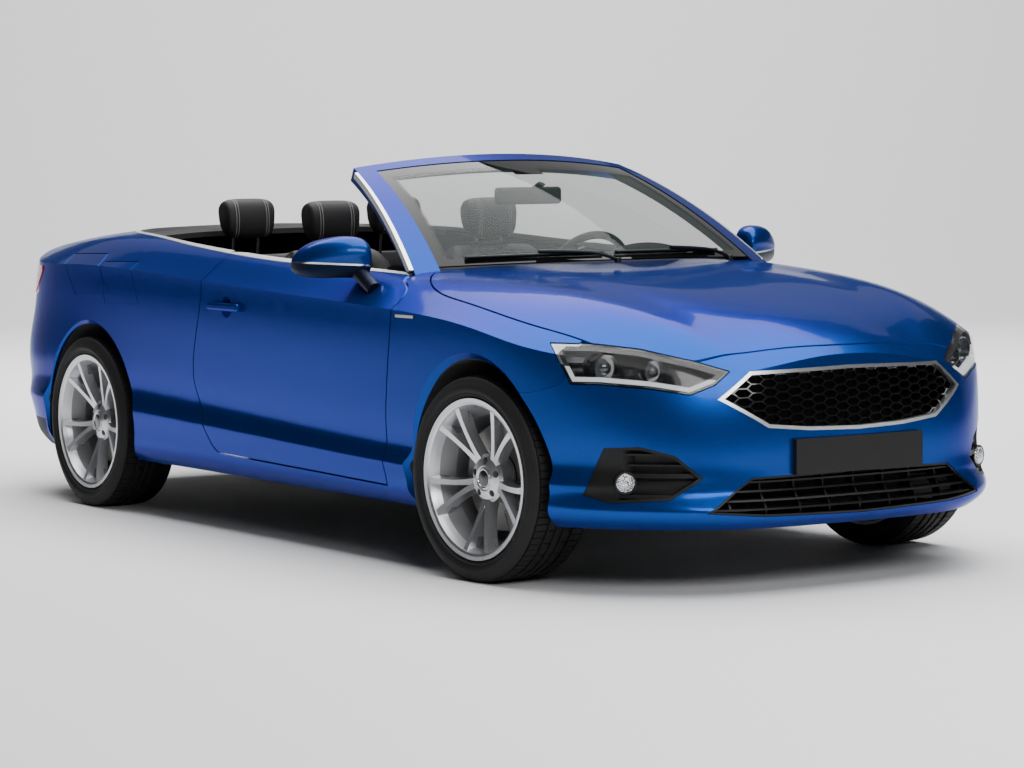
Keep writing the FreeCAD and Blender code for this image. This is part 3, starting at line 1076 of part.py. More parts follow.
# Small pieces fixed to the body and the doors
PLATE_WIDTH = 505.0
PLATE_SHARES = ((0.972, 0.9923), (0.2681, 0.3478))
low, high = PLATE_SHARES[1]
plate = block((PLATE_SHARES[0][0] * HALF_LENGTH, PLATE_SHARES[0][1] * HALF_LENGTH),
              (-PLATE_WIDTH / 2, PLATE_WIDTH / 2), (low * HEIGHT, high * HEIGHT))
save("number_plate", largest(plate.cut(OUTER)))
MIRROR_SHARES = ((0.1884, 0.2034), (-0.1492, 0.1492), (0.8522, 0.8971))
MIRROR_ROUND = 14.0
STEM_RADIUS = 12.0
STEM_SHARES = ((0.1979, 0.0, 0.8801), (0.2527, 0.0, 0.9203))
mirror_head = rounded(share_block(*MIRROR_SHARES), MIRROR_ROUND)
mirror = mirror_head.fuse(rod(STEM_RADIUS, at(*STEM_SHARES[0]), at(*STEM_SHARES[1])))
under_glass = screen_solid(1.0, GLASS_LOW_SHARE, GLASS_TOP_SHARE, -GLASS / 2 - SEAT_GAP, OVERRUN)
save("interior_mirror", mirror.cut(under_glass))

# Door mirrors: a head lofted from its deep inner end to its thin outer tip, on a short foot
# Each section: centre, then half depth and half height
HEAD_SECTION_SHARES = [
    ((0.2870, 0.868, 0.7300), (0.010, 0.020)),
    ((0.2830, 0.880, 0.7330), (0.0240, 0.0440)),
    ((0.2740, 0.930, 0.7360), (0.0290, 0.0510)),
    ((0.2600, 1.000, 0.7330), (0.0280, 0.0480)),
    ((0.2450, 1.060, 0.7250), (0.0230, 0.0370)),
    ((0.2360, 1.090, 0.7180), (0.0140, 0.0200)),
    ((0.2330, 1.097, 0.7160), (0.004, 0.006))]
SECTION_POINTS = 12
SQUARENESS = 0.72
FOOT_SHARES = ((0.2890, 0.905, 0.7000), (0.3350, 0.905, 0.6580))
FOOT_RADIUS = 26.0


def oval(centre, half_depth, half_height):
    """A rounded section across a mirror's head."""
    points = []
    for i in range(SECTION_POINTS):
        angle = 2 * math.pi * i / SECTION_POINTS
        c, s = math.cos(angle), math.sin(angle)
        points.append(centre + Vector(math.copysign(abs(c) ** SQUARENESS, c) * half_depth, 0,
                                      math.copysign(abs(s) ** SQUARENESS, s) * half_height))
    curve = Part.BSplineCurve()
    curve.interpolate(points, PeriodicFlag=True)
    return Part.Wire([curve.toShape()])


for name, side in SIDES:
    sections = [oval(at(x, side * y, z), depth * HALF_LENGTH, high * HEIGHT)
                for (x, y, z), (depth, high) in HEAD_SECTION_SHARES]
    head = Part.makeLoft(sections, True, False)
    low, high = FOOT_SHARES
    foot = rod(FOOT_RADIUS, at(low[0], side * low[1], low[2]), at(high[0], side * high[1], high[2]))
    door_mirror = head.fuse(foot).cut(body_solid(-SEAT_GAP))
    save("door_mirror_" + name, largest(door_mirror))

# Exhaust
PIPE_RADIUS = 34.0
PIPE_WALL = 3.0
PIPE_FLOOR_SHARE = 0.15
TAIL_PIPE_SHARES = ((-0.835, 0.600, 0.1250), (-0.915, 0.600, 0.1250))
LINK_PIPE_SHARES = ((-0.835, 0.600, 0.1250), (-0.750, 0.216, 0.1254))
LINK_PIPE_RADIUS = 20.0
MUFFLER_SHARES = ((-0.8137, -0.7024), (-0.3568, 0.3568), (0.1014, 0.1498))
pipes = []
for _, side in SIDES:
    start, end = [at(x, side * y, z) for x, y, z in TAIL_PIPE_SHARES]
    pipe = rod(PIPE_RADIUS, start, end)
    inside = rod(PIPE_RADIUS - PIPE_WALL, between(start, end, PIPE_FLOOR_SHARE), end + (end - start))
    pipes.append(pipe.cut(inside))
    start, end = [at(x, side * y, z) for x, y, z in LINK_PIPE_SHARES]
    pipes.append(rod(LINK_PIPE_RADIUS, start, end))
muffler = share_block(*MUFFLER_SHARES)
save("exhaust", largest(muffler.multiFuse(pipes)))
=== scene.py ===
import json
import math

import bmesh
import bpy
from mathutils import Matrix, Vector


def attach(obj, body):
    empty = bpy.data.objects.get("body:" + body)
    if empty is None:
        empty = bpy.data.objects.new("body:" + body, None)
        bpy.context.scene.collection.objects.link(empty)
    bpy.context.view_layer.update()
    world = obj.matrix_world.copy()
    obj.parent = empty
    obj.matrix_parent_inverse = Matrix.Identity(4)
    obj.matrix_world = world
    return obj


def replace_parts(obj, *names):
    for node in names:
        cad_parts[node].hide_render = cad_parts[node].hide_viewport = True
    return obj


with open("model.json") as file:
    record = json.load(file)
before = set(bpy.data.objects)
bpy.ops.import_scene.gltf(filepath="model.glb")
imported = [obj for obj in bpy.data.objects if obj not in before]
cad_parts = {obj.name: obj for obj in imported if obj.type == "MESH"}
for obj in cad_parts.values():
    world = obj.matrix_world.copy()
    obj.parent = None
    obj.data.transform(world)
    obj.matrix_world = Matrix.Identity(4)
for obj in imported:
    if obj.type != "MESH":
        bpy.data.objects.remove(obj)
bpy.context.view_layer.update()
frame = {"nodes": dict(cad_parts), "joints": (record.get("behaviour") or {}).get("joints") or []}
NODES = frame["nodes"]

# The photograph's camera stands low ahead of the car's right front corner, far off,
# with a long lens. Its place comes from the wheels and the known sizes of the car.
CAMERA_PLACE = Vector((10.2356, -6.5042, 1.4048))
CAMERA_YAW = 2.5600
CAMERA_PITCH = -0.0741
CAMERA_ROLL = -0.0088
LENS_MM = 115.42
forward = Vector((math.cos(CAMERA_PITCH) * math.cos(CAMERA_YAW),
                  math.cos(CAMERA_PITCH) * math.sin(CAMERA_YAW), math.sin(CAMERA_PITCH)))
level_right = forward.cross(Vector((0, 0, 1))).normalized()
level_up = level_right.cross(forward)
right = level_right * math.cos(CAMERA_ROLL) + level_up * math.sin(CAMERA_ROLL)
up = level_up * math.cos(CAMERA_ROLL) - level_right * math.sin(CAMERA_ROLL)
camera_data = bpy.data.cameras.new("camera")
camera_data.lens = LENS_MM
camera_data.sensor_width = 36.0
camera = bpy.data.objects.new("camera", camera_data)
camera.matrix_world = Matrix.Translation(CAMERA_PLACE) @ Matrix(
    (right, up, -forward)).transposed().to_4x4()
bpy.context.scene.collection.objects.link(camera)
bpy.context.scene.camera = camera

# The painted skin is pressed steel and aluminium under a blue base coat full of fine metal
# flake, with a clear coat over it. The panels hang on the tub with even shut lines.
BLUE = (0.0030, 0.040, 0.225)
BLUE_LIT = (0.006, 0.062, 0.33)
FLAKE_SCALE = 2400.0
PAINT_ROUGH = 0.26
PAINT_METAL = 0.78
PAINT_COAT = 0.22
LACQUER = {"Coat_Weight": PAINT_COAT, "Coat_Roughness": 0.05, "Coat_IOR": 1.4,
           "Specular_Tint": (0.03, 0.16, 0.60, 1.0)}


class Socket:
    """A shader socket that arithmetic can be written with."""

    def __init__(self, tree, socket):
        self.tree = tree
        self.socket = socket

    def math(self, operation, *others):
        node = self.tree.nodes.new("ShaderNodeMath")
        node.operation = operation
        for slot, value in zip(node.inputs, (self,) + others):
            if isinstance(value, Socket):
                self.tree.links.new(value.socket, slot)
            else:
                slot.default_value = value
        return Socket(self.tree, node.outputs[0])

    def __add__(self, other):
        return self.math("ADD", other)

    def __mul__(self, other):
        return self.math("MULTIPLY", other)

    def __sub__(self, other):
        return self.math("SUBTRACT", other)

    def __rsub__(self, other):
        return (self * -1.0) + other

    __radd__ = __add__
    __rmul__ = __mul__

    def above(self, level):
        return self.math("GREATER_THAN", level)

    def below(self, level):
        return self.math("LESS_THAN", level)

    def within(self, low, high):
        return self.above(low) * self.below(high)

    def power(self, exponent):
        return self.math("POWER", exponent)

    def wave(self):
        return self.math("SINE")

    def size(self):
        return self.math("ABSOLUTE")

    def either(self, other):
        return self.math("MAXIMUM", other)

    def held(self):
        """The value kept between 0 and 1."""
        return self.math("MAXIMUM", 0.0).math("MINIMUM", 1.0)


class Finish:
    """A procedural material: its Principled shader, its nodes and the record's slot."""

    def __init__(self, name, color, rough, metal=0.0, slot=None, **fixed):
        self.slot = slot
        self.material = bpy.data.materials.new(name)
        self.material.use_nodes = True
        self.tree = self.material.node_tree
        self.shader = self.tree.nodes["Principled BSDF"]
        self.shader.inputs["Base Color"].default_value = (*color, 1.0)
        self.shader.inputs["Roughness"].default_value = rough
        self.shader.inputs["Metallic"].default_value = metal
        self.material.diffuse_color = (*color, 1.0)
        for key, value in fixed.items():
            self.shader.inputs[key.replace("_", " ")].default_value = value

    def node(self, kind, settings=None, **links):
        """A node of a type with its settings, and its inputs by name."""
        made = self.tree.nodes.new("ShaderNode" + kind)
        for key, value in (settings or {}).items():
            setattr(made, key, value)
        for key, value in links.items():
            slot = made.inputs[key.replace("_", " ")]
            if isinstance(value, Socket):
                self.tree.links.new(value.socket, slot)
            else:
                slot.default_value = value
        return made

    def place(self, axis=None):
        """The point on the piece in metres, or one coordinate of it."""
        spot = self.node("TexCoord").outputs["Object"]
        if axis is None:
            return Socket(self.tree, spot)
        parts = self.node("SeparateXYZ", Vector=Socket(self.tree, spot))
        return Socket(self.tree, parts.outputs[axis])

    def facing(self, axis):
        """One coordinate of the surface's normal, on the piece itself."""
        way = Socket(self.tree, self.node("TexCoord").outputs["Normal"])
        parts = self.node("SeparateXYZ", Vector=way)
        return Socket(self.tree, parts.outputs[axis])

    def noise(self, scale, detail=3.0, stretch=(1, 1, 1)):
        spot = self.node("Mapping", Vector=self.place(), Scale=stretch)
        made = self.node("TexNoise", Vector=Socket(self.tree, spot.outputs[0]), Scale=scale,
                         Detail=detail)
        return Socket(self.tree, made.outputs["Fac"])

    def cells(self, scale):
        made = self.node("TexVoronoi", Vector=self.place(), Scale=scale)
        return Socket(self.tree, made.outputs["Distance"])

    def from_spot(self, spot):
        """The way from a spot to the point on the piece, and how long it is."""
        way = self.node("VectorMath", {"operation": "SUBTRACT"}, Vector=self.place())
        way.inputs[1].default_value = spot
        way = Socket(self.tree, way.outputs["Vector"])
        length = self.node("VectorMath", {"operation": "LENGTH"}, Vector=way)
        return way, Socket(self.tree, length.outputs["Value"])

    def feed(self, name, value):
        self.tree.links.new(value.socket, self.shader.inputs[name])
        return self

    def bump(self, height, strength, distance):
        made = self.node("Bump", Height=height, Strength=strength, Distance=distance)
        return self.feed("Normal", Socket(self.tree, made.outputs["Normal"]))

    def mix(self, factor, low, high):
        """A colour that goes from low to high as factor goes from 0 to 1."""
        made = self.tree.nodes.new("ShaderNodeMix")
        made.data_type = "RGBA"
        self.tree.links.new(factor.socket, made.inputs[0])
        for slot, value in ((made.inputs[6], low), (made.inputs[7], high)):
            if isinstance(value, Socket):
                self.tree.links.new(value.socket, slot)
            else:
                slot.default_value = (*value, 1.0)
        return Socket(self.tree, made.outputs[2])


def dress(finish, *names):
    """Gives CAD nodes a finish."""
    for name in names:
        slots = NODES[name].data.materials
        slots.clear()
        slots.append(finish.material)


paint = Finish("blue_metallic_paint", BLUE, PAINT_ROUGH, PAINT_METAL, **LACQUER)
paint.feed("Base Color", paint.mix(paint.cells(FLAKE_SCALE), BLUE_LIT, BLUE))
paint.feed("Roughness", paint.cells(FLAKE_SCALE) * 0.08 + 0.22)
dress(paint, "hood", "trunk_lid", "deck_panel", "scuttle", "bumper_front",
      *["%s_%s" % (panel, side) for panel in ("fender", "body_side", "door")
        for side in ("right", "left")])

# The rear bumper is a painted moulding whose lowest stretch is left in grained black, with
# two flat red reflectors let into it.
BUMPER_BLACK_TOP = 0.315
REFLECTOR_Z = (0.452, 0.476)
REFLECTOR_Y = (0.56, 0.76)
REFLECTOR_X = -1.9
rear_skin = Finish("rear_bumper_skin", BLUE, PAINT_ROUGH, PAINT_METAL, **LACQUER)
height = rear_skin.place("Z")
across = rear_skin.place("Y").size()
lower = height.below(BUMPER_BLACK_TOP)
reflector = (height.within(*REFLECTOR_Z) * across.within(*REFLECTOR_Y)
             * rear_skin.place("X").below(REFLECTOR_X))
facets = rear_skin.cells(260.0)
skin_colour = rear_skin.mix(lower, BLUE, (0.016, 0.016, 0.017))
rear_skin.feed("Base Color", rear_skin.mix(reflector, skin_colour, (0.42, 0.006, 0.008)))
rear_skin.feed("Metallic", PAINT_METAL * (1 - lower) * (1 - reflector))
rear_skin.feed("Roughness", PAINT_ROUGH + lower * 0.35 - reflector * 0.16)
rear_skin.feed("Coat Weight", PAINT_COAT * (1 - lower))
rear_skin.bump(facets * reflector + rear_skin.noise(900.0) * lower, 0.35, 0.0006)
dress(rear_skin, "bumper_rear")

# The windscreen's frame is body colour outside and lined in dark moulded foam inside,
# where the sun visors fold up against it.
FRAME_OUT = Vector((0.437, 0, 0.900))
FACE_IN = -0.15
SIDE_IN = -0.12
frame_skin = Finish("windscreen_frame_skin", BLUE, PAINT_ROUGH, PAINT_METAL, **LACQUER)
outward = frame_skin.facing("X") * FRAME_OUT.x + frame_skin.facing("Z") * FRAME_OUT.z
inward = (frame_skin.facing("Y") * frame_skin.place("Y")).below(SIDE_IN)
lining = outward.below(FACE_IN).either(inward)
frame_skin.feed("Base Color", frame_skin.mix(lining, BLUE, (0.022, 0.022, 0.024)))
frame_skin.feed("Metallic", PAINT_METAL * (1 - lining))
frame_skin.feed("Roughness", PAINT_ROUGH + lining * 0.54)
frame_skin.feed("Coat Weight", PAINT_COAT * (1 - lining))
frame_skin.bump(frame_skin.noise(700.0) * lining, 0.3, 0.0005)
dress(frame_skin, "windscreen_frame")

# The tub is welded sheet: body colour round the door openings, needled carpet and felt
# inside the cabin and the boot, and a thick black stone-chip coat below and in the wheel arches.
SILL_Y = 0.744
JAMB_Y = 0.800
SILL_X = (-0.46, 1.03)
SILL_TOP = 0.36
SILL_COAT = 0.8
FLOOR_Z = 0.252
CARPET_X = (-2.16, 0.93)
tub = Finish("tub_coats", (0.018, 0.018, 0.019), 0.85)
side_way = tub.place("Y").size()
along, height = tub.place("X"), tub.place("Z")
low_sill = side_way.above(SILL_Y) * height.below(SILL_TOP)
sill = along.within(*SILL_X) * height.above(FLOOR_Z) * low_sill.either(side_way.above(JAMB_Y))
carpet = side_way.below(SILL_Y + 0.004) * along.within(*CARPET_X) * height.above(FLOOR_Z)
fibre = tub.noise(1500.0, 2.0)
weave = tub.mix(fibre, (0.012, 0.012, 0.014), (0.045, 0.045, 0.050))
coat = tub.mix(tub.noise(220.0), (0.010, 0.010, 0.011), (0.026, 0.026, 0.027))
tub.feed("Base Color", tub.mix(sill, tub.mix(carpet, coat, weave), BLUE))
tub.feed("Metallic", PAINT_METAL * sill)
tub.feed("Roughness", 0.92 - sill * 0.56)
tub.feed("Coat Weight", SILL_COAT * sill)
tub.bump((fibre * carpet + tub.noise(300.0)) * (1 - sill), 0.8, 0.0012)
dress(tub, "cabin_tub", "tub_front", "tub_rear")

# The seals, plate carrier, intake bars and fog inserts are moulded in black plastic with a
# fine grain, clipped into the bumper. The honeycomb is the same plastic, polished.
BLACK = (0.006, 0.006, 0.0065)
black = Finish("satin_black_plastic", BLACK, 0.44, Specular_IOR_Level=0.3)
black.bump(black.noise(1100.0), 0.25, 0.0003)
black.feed("Roughness", black.noise(40.0) * 0.10 + 0.38)
dress(black, "lower_grille", "fog_inserts", "number_plate")
gloss = Finish("gloss_black_plastic", BLACK, 0.16, Coat_Weight=0.6)
gloss.feed("Roughness", gloss.noise(60.0) * 0.10 + 0.12)
dress(gloss, "grille")
core = Finish("radiator_core", (0.02, 0.02, 0.021), 0.6, 0.5)
fins = (core.place("Y") * 2200.0).wave()
core.feed("Base Color", core.mix(fins.held(), (0.006, 0.006, 0.006), (0.035, 0.035, 0.036)))
core.bump(fins, 0.6, 0.001)
dress(core, "radiator")

# The grille's frame and the strips round the cabin and along the pillars are bright anodised
# aluminium, pressed on over the flanges. The exhaust is bare steel with polished tailpipes.
bright = Finish("bright_trim", (0.86, 0.87, 0.88), 0.30, 1.0)
bright.feed("Roughness", bright.noise(30.0, 3.0, (1, 6, 6)) * 0.12 + 0.26)
dress(bright, "grille_frame", "belt_trim", "door_trim_right", "door_trim_left", "pillar_trim")
MUFFLER_X = -1.905
pipes = Finish("exhaust_steel", (0.36, 0.35, 0.34), 0.45, 1.0)
tip = pipes.place("X").below(MUFFLER_X)
pipes.feed("Base Color", pipes.mix(tip, (0.24, 0.225, 0.21), (0.74, 0.74, 0.75)))
pipes.feed("Roughness", 0.5 - tip * 0.36 + pipes.noise(90.0) * 0.08)
dress(pipes, "exhaust")

# Four tyres of black rubber on 19 inch rims. The tread has five ribs, with cross grooves in
# the shoulders and the middle, and a thicker rib on each side guards the rim.
TYRE_RADIUS = 0.3305
RING_STEPS = 84
RIB_DEPTH = 0.0065
RIB_SKIN = 0.0035
SHOULDER = (0.055, 0.103)
GROOVE_HALF = 0.0017
GROOVE_AREA = 0.00018
# From the bead to the middle of the tread: distance from the wheel's middle plane, radius
TYRE_SIDE = [
    (0.0996, 0.2412), (0.1000, 0.2570), (0.1040, 0.2625), (0.1128, 0.2672), (0.1172, 0.2705),
    (0.1176, 0.2735), (0.1166, 0.2752), (0.1200, 0.2800), (0.1222, 0.2868), (0.1218, 0.2935),
    (0.1204, 0.2960), (0.1204, 0.2975), (0.1200, 0.2990), (0.1172, 0.3060), (0.1160, 0.3074),
    (0.1112, 0.3170), (0.1085, 0.3215), (0.1020, 0.3262), (0.0960, 0.3288), (0.0860, 0.3300),
    (0.0570, 0.3303), (0.0545, 0.3288), (0.0535, 0.3232), (0.0455, 0.3232), (0.0445, 0.3288),
    (0.0425, 0.3304), (0.0215, 0.3305), (0.0200, 0.3288), (0.0190, 0.3232), (0.0110, 0.3232),
    (0.0100, 0.3288), (0.0085, 0.3305)]


def start():
    """Leaves nothing selected, in object mode."""
    if bpy.context.object and bpy.context.object.mode != "OBJECT":
        bpy.ops.object.mode_set(mode="OBJECT")
    bpy.ops.object.select_all(action="DESELECT")


def grasp(piece):
    """Makes the piece the only one selected."""
    start()
    piece.select_set(True)
    bpy.context.view_layer.objects.active = piece


def named(name):
    """Names the piece that was just added and applies its place."""
    piece = bpy.context.object
    piece.name = piece.data.name = name
    grasp(piece)
    bpy.ops.object.transform_apply(location=True, rotation=True, scale=True)
    return piece


def choose(piece, kind, test):
    """In edit mode, selects the faces, edges or points whose middle, way and size pass a test."""
    grasp(piece)
    bpy.ops.object.mode_set(mode="EDIT")
    bpy.ops.mesh.select_mode(type=kind)
    bpy.ops.mesh.select_all(action="DESELECT")
    shape = bmesh.from_edit_mesh(piece.data)
    if kind == "FACE":
        for face in shape.faces:
            face.select_set(bool(test(face.calc_center_median(), face.normal, face.calc_area())))
    elif kind == "EDGE":
        for edge in shape.edges:
            ends = [point.co for point in edge.verts]
            way = (ends[1] - ends[0]).normalized()
            edge.select_set(bool(test((ends[0] + ends[1]) / 2, way, edge.calc_length())))
    else:
        for point in shape.verts:
            point.select_set(bool(test(point.co, point.normal, 0)))
    shape.select_flush_mode()
    bmesh.update_edit_mesh(piece.data)


def drawn(name, points, closed=False):
    """A line drawn by extruding one point along the others. A closed one is filled."""
    start()
    bpy.ops.mesh.primitive_plane_add(size=0.001, location=points[0])
    piece = named(name)
    bpy.ops.object.mode_set(mode="EDIT")
    bpy.ops.mesh.select_mode(type="VERT")
    bpy.ops.mesh.select_all(action="SELECT")
    bpy.ops.mesh.merge(type="CENTER")
    for here, there in zip(points, points[1:]):
        step = Vector(there) - Vector(here)
        bpy.ops.mesh.extrude_region_move(TRANSFORM_OT_translate={"value": step})
    if closed:
        bpy.ops.mesh.select_all(action="SELECT")
        bpy.ops.mesh.edge_face_add()
    bpy.ops.object.mode_set(mode="OBJECT")
    return piece


def tidied(piece, angle=35):
    """Merges doubles, turns the faces outwards and shades all but the sharp edges smooth."""
    grasp(piece)
    bpy.ops.object.mode_set(mode="EDIT")
    bpy.ops.mesh.select_all(action="SELECT")
    bpy.ops.mesh.remove_doubles(threshold=0.00002)
    bpy.ops.mesh.normals_make_consistent(inside=False)
    bpy.ops.object.mode_set(mode="OBJECT")
    bpy.ops.object.shade_smooth_by_angle(angle=math.radians(angle))
    return piece


def modified(piece, kind, **settings):
    """Adds a modifier with its settings and applies it."""
    grasp(piece)
    added = piece.modifiers.new(kind.lower(), kind)
    for key, value in settings.items():
        setattr(added, key, value)
    bpy.ops.object.modifier_apply(modifier=added.name)
    return piece


def eased(piece, width, segments=2):
    """Rounds the sharp edges."""
    return modified(piece, "BEVEL", width=width, segments=segments, limit_method="ANGLE")


def spun(piece, steps, angle=2 * math.pi):
    """Spins a line or a face round the Y axis."""
    grasp(piece)
    bpy.ops.object.mode_set(mode="EDIT")
    bpy.ops.mesh.select_all(action="SELECT")
    bpy.ops.mesh.spin(steps=steps, angle=angle, center=(0, 0, 0), axis=(0, 1, 0))
    return tidied(piece)


def turned(name, line, steps):
    """A round piece as from a lathe: its line gives places along Y and radii there."""
    return spun(drawn(name, [(0, along, radius) for along, radius in line]), steps)


def copied(piece, name, turn=None):
    """A copy with its own mesh, turned and moved by a matrix."""
    other = piece.copy()
    other.data = piece.data.copy()
    other.name = other.data.name = name
    bpy.context.scene.collection.objects.link(other)
    if turn is not None:
        other.data.transform(turn)
        if turn.determinant() < 0:
            other.data.flip_normals()
    return other


def discarded(*pieces):
    """Removes the models whose copies are in place."""
    for piece in pieces:
        bpy.data.objects.remove(piece)


def joined(name, *pieces):
    """Several pieces made one."""
    start()
    for piece in pieces:
        piece.select_set(True)
    bpy.context.view_layer.objects.active = pieces[0]
    if len(pieces) > 1:
        bpy.ops.object.join()
    pieces[0].name = pieces[0].data.name = name
    return pieces[0]


def finished(piece, finish, body):
    """Gives a new piece its finish and the body it rides on."""
    piece.data.materials.clear()
    piece.data.materials.append(finish.material)
    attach(piece, body)
    return piece


def across_wheel(spot):
    """How far a point lies from the axle of a wheel that stands at the origin."""
    return math.hypot(spot.x, spot.z)


def on_rib(spot, low, high):
    return low < abs(spot.y) < high and across_wheel(spot) > TYRE_RADIUS - RIB_SKIN


tyre = turned("tyre", TYRE_SIDE + [(-out, rise) for out, rise in reversed(TYRE_SIDE)], RING_STEPS)
pitch = 2 * math.pi / RING_STEPS
choose(tyre, "EDGE", lambda spot, way, size: abs(way.y) > 0.9 and (
    on_rib(spot, *SHOULDER)
    or (on_rib(spot, 0.021, 0.044) and round(math.atan2(spot.z, spot.x) / pitch) % 2 == 0)))
bpy.ops.mesh.bevel(offset=GROOVE_HALF, segments=1, affect="EDGES")
choose(tyre, "FACE", lambda spot, way, size: size < GROOVE_AREA and (
    on_rib(spot, *SHOULDER) or on_rib(spot, 0.0215, 0.0425)))
bpy.ops.mesh.extrude_region_move()
shrink = 1 - RIB_DEPTH / TYRE_RADIUS
bpy.ops.transform.resize(value=(shrink, 1, shrink), center_override=(0, 0, 0))
tidied(tyre, 28)

RUBBER = (0.009, 0.009, 0.0095)
rubber = Finish("tyre_rubber", RUBBER, 0.66, Specular_IOR_Level=0.25)
dust = rubber.noise(9.0, 4.0)
rubber.feed("Base Color", rubber.mix(dust, (0.007, 0.007, 0.0075), (0.013, 0.013, 0.013)))
rubber.feed("Roughness", dust * 0.22 + 0.52)
rubber.bump(rubber.noise(600.0), 0.2, 0.0004)


def facing_way(way):
    """The turn that brings the Y axis round to a way."""
    return Vector((0, 1, 0)).rotation_difference(way).to_matrix().to_4x4()


# Each wheel stands where its axle does, the front pair turned with the steering
WHEELS = {}
for joint in frame["joints"]:
    if joint["name"].endswith("_spin"):
        wheel = joint["name"][:-len("_spin")]
        side_sign = -1 if wheel.endswith("right") else 1
        outward = Vector(joint["axis"]).normalized() * side_sign
        WHEELS[wheel] = Matrix.Translation(Vector(joint["pos_m"])) @ facing_way(outward)
for wheel, turn in WHEELS.items():
    made = copied(tyre, wheel + "_tread_tyre", turn)
    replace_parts(finished(made, rubber, wheel), wheel + "_tyre")
discarded(tyre)

# The rims are cast aluminium under silver lacquer, with painted shade darkening the barrel
# behind the spokes, a machined brake disc, a black centre cap and five bolts down their holes.
DISC_REACH = 0.1765
DISC_DEPTH = 0.0
BELL_REACH = 0.083
BARREL_REACH = 0.190
BARREL_DEPTH = 0.072
BOLT_CIRCLE = 0.056
BOLT_FOOT = 0.024
BOLT_RADIUS = 0.0086
BOLT_LENGTH = 0.026
CAP_RADIUS = 0.0315
CAP_SEAT = 0.0645
CAP_RING = 0.0263
SILVER = (0.60, 0.61, 0.63)


def rim_finish(name, turn):
    """Silver coat, darker on the barrel as painted shade; barrel and disc are told apart by their
    place on the axle.
    """
    finish = Finish(name, SILVER, 0.28, 0.9)
    arm, length = finish.from_spot(turn.to_translation())
    reach = finish.node("VectorMath", {"operation": "DOT_PRODUCT"}, Vector=arm)
    reach.inputs[1].default_value = turn.to_3x3() @ Vector((0, 1, 0))
    out = Socket(finish.tree, reach.outputs["Value"])
    radius = (length * length - out * out).math("SQRT")
    disc = out.below(DISC_DEPTH) * radius.below(DISC_REACH)
    bell = disc * radius.below(BELL_REACH)
    barrel = radius.above(BARREL_REACH) * out.below(BARREL_DEPTH) * (1 - disc)
    rings = (radius * 5200.0).wave()
    # The barrel behind the spokes is mixed towards near black: painted shade.
    silver_with_barrel_shade = finish.mix(barrel.held() * 0.75, SILVER, (0.16, 0.16, 0.165))
    iron = finish.mix(bell, (0.30, 0.29, 0.28), (0.10, 0.10, 0.10))
    finish.feed("Base Color", finish.mix(disc, silver_with_barrel_shade, iron))
    finish.feed("Metallic", 0.9 - barrel * 0.35)
    finish.feed("Roughness", 0.26 + barrel * 0.22 + disc * 0.08 + finish.noise(500.0) * 0.06)
    finish.bump(rings * disc * (1 - bell), 0.25, 0.0002)
    return finish


def cylinder(name, sides, radius, length, middle, turn=(0, 0, 0), flat=(1, 1)):
    """A plain round bar at its size and place, or an oval one."""
    start()
    bpy.ops.mesh.primitive_cylinder_add(vertices=sides, radius=radius, depth=length,
                                        location=middle, rotation=turn)
    bpy.context.object.scale = (*flat, 1)
    return named(name)


def sunk(piece, test, *steps):
    """Insets the faces that pass a test and moves them, once for each thickness and move."""
    choose(piece, "FACE", test)
    for thickness, move in steps:
        bpy.ops.mesh.inset(thickness=thickness)
        bpy.ops.mesh.extrude_region_move(TRANSFORM_OT_translate={"value": move})
    bpy.ops.object.mode_set(mode="OBJECT")
    return piece


steel = Finish("bolt_steel", (0.10, 0.10, 0.105), 0.32, 1.0)
steel.feed("Roughness", steel.noise(400.0) * 0.2 + 0.22)
bolt = cylinder("bolt", 6, BOLT_RADIUS, BOLT_LENGTH, (0, BOLT_FOOT + BOLT_LENGTH / 2, 0),
                (math.pi / 2, 0, 0))
eased(sunk(bolt, lambda spot, way, size: way.y > 0.9, (0.0036, (0, -0.007, 0))), 0.0008)
bolts = []
for count in range(5):
    angle = -math.pi / 2 + 2 * math.pi * (count + 0.5) / 5
    place = Matrix.Translation((BOLT_CIRCLE * math.cos(angle), 0, BOLT_CIRCLE * math.sin(angle)))
    bolts.append(copied(bolt, "bolt_%d" % count, place))
bolt_ring = tidied(joined("bolt_ring", *bolts))
discarded(bolt)
CAP_LINE = [(CAP_SEAT, CAP_RADIUS), (CAP_SEAT + 0.0042, CAP_RADIUS),
            (CAP_SEAT + 0.0054, CAP_RADIUS - 0.0014), (CAP_SEAT + 0.0050, CAP_RADIUS - 0.0034),
            (CAP_SEAT + 0.0030, CAP_RADIUS - 0.0046), (CAP_SEAT + 0.0036, 0.020),
            (CAP_SEAT + 0.0048, 0.010), (CAP_SEAT + 0.0050, 0.0001)]
cap = turned("cap", CAP_LINE, 40)


def cap_finish(name, turn):
    """Gloss black inside a bright ring."""
    finish = Finish(name, BLACK, 0.18, Coat_Weight=0.6)
    _, span = finish.from_spot(turn @ Vector((0, CAP_SEAT, 0)))
    ring = span.above(CAP_RING)
    finish.feed("Base Color", finish.mix(ring, BLACK, (0.62, 0.63, 0.65)))
    finish.feed("Metallic", ring * 1.0)
    return finish


for wheel, turn in WHEELS.items():
    dress(rim_finish(wheel + "_lacquer", turn), wheel + "_rim")
    finished(copied(bolt_ring, wheel + "_bolts", turn), steel, wheel)
    finished(copied(cap, wheel + "_cap", turn), cap_finish(wheel + "_cap_finish", turn), wheel)
discarded(bolt_ring, cap)

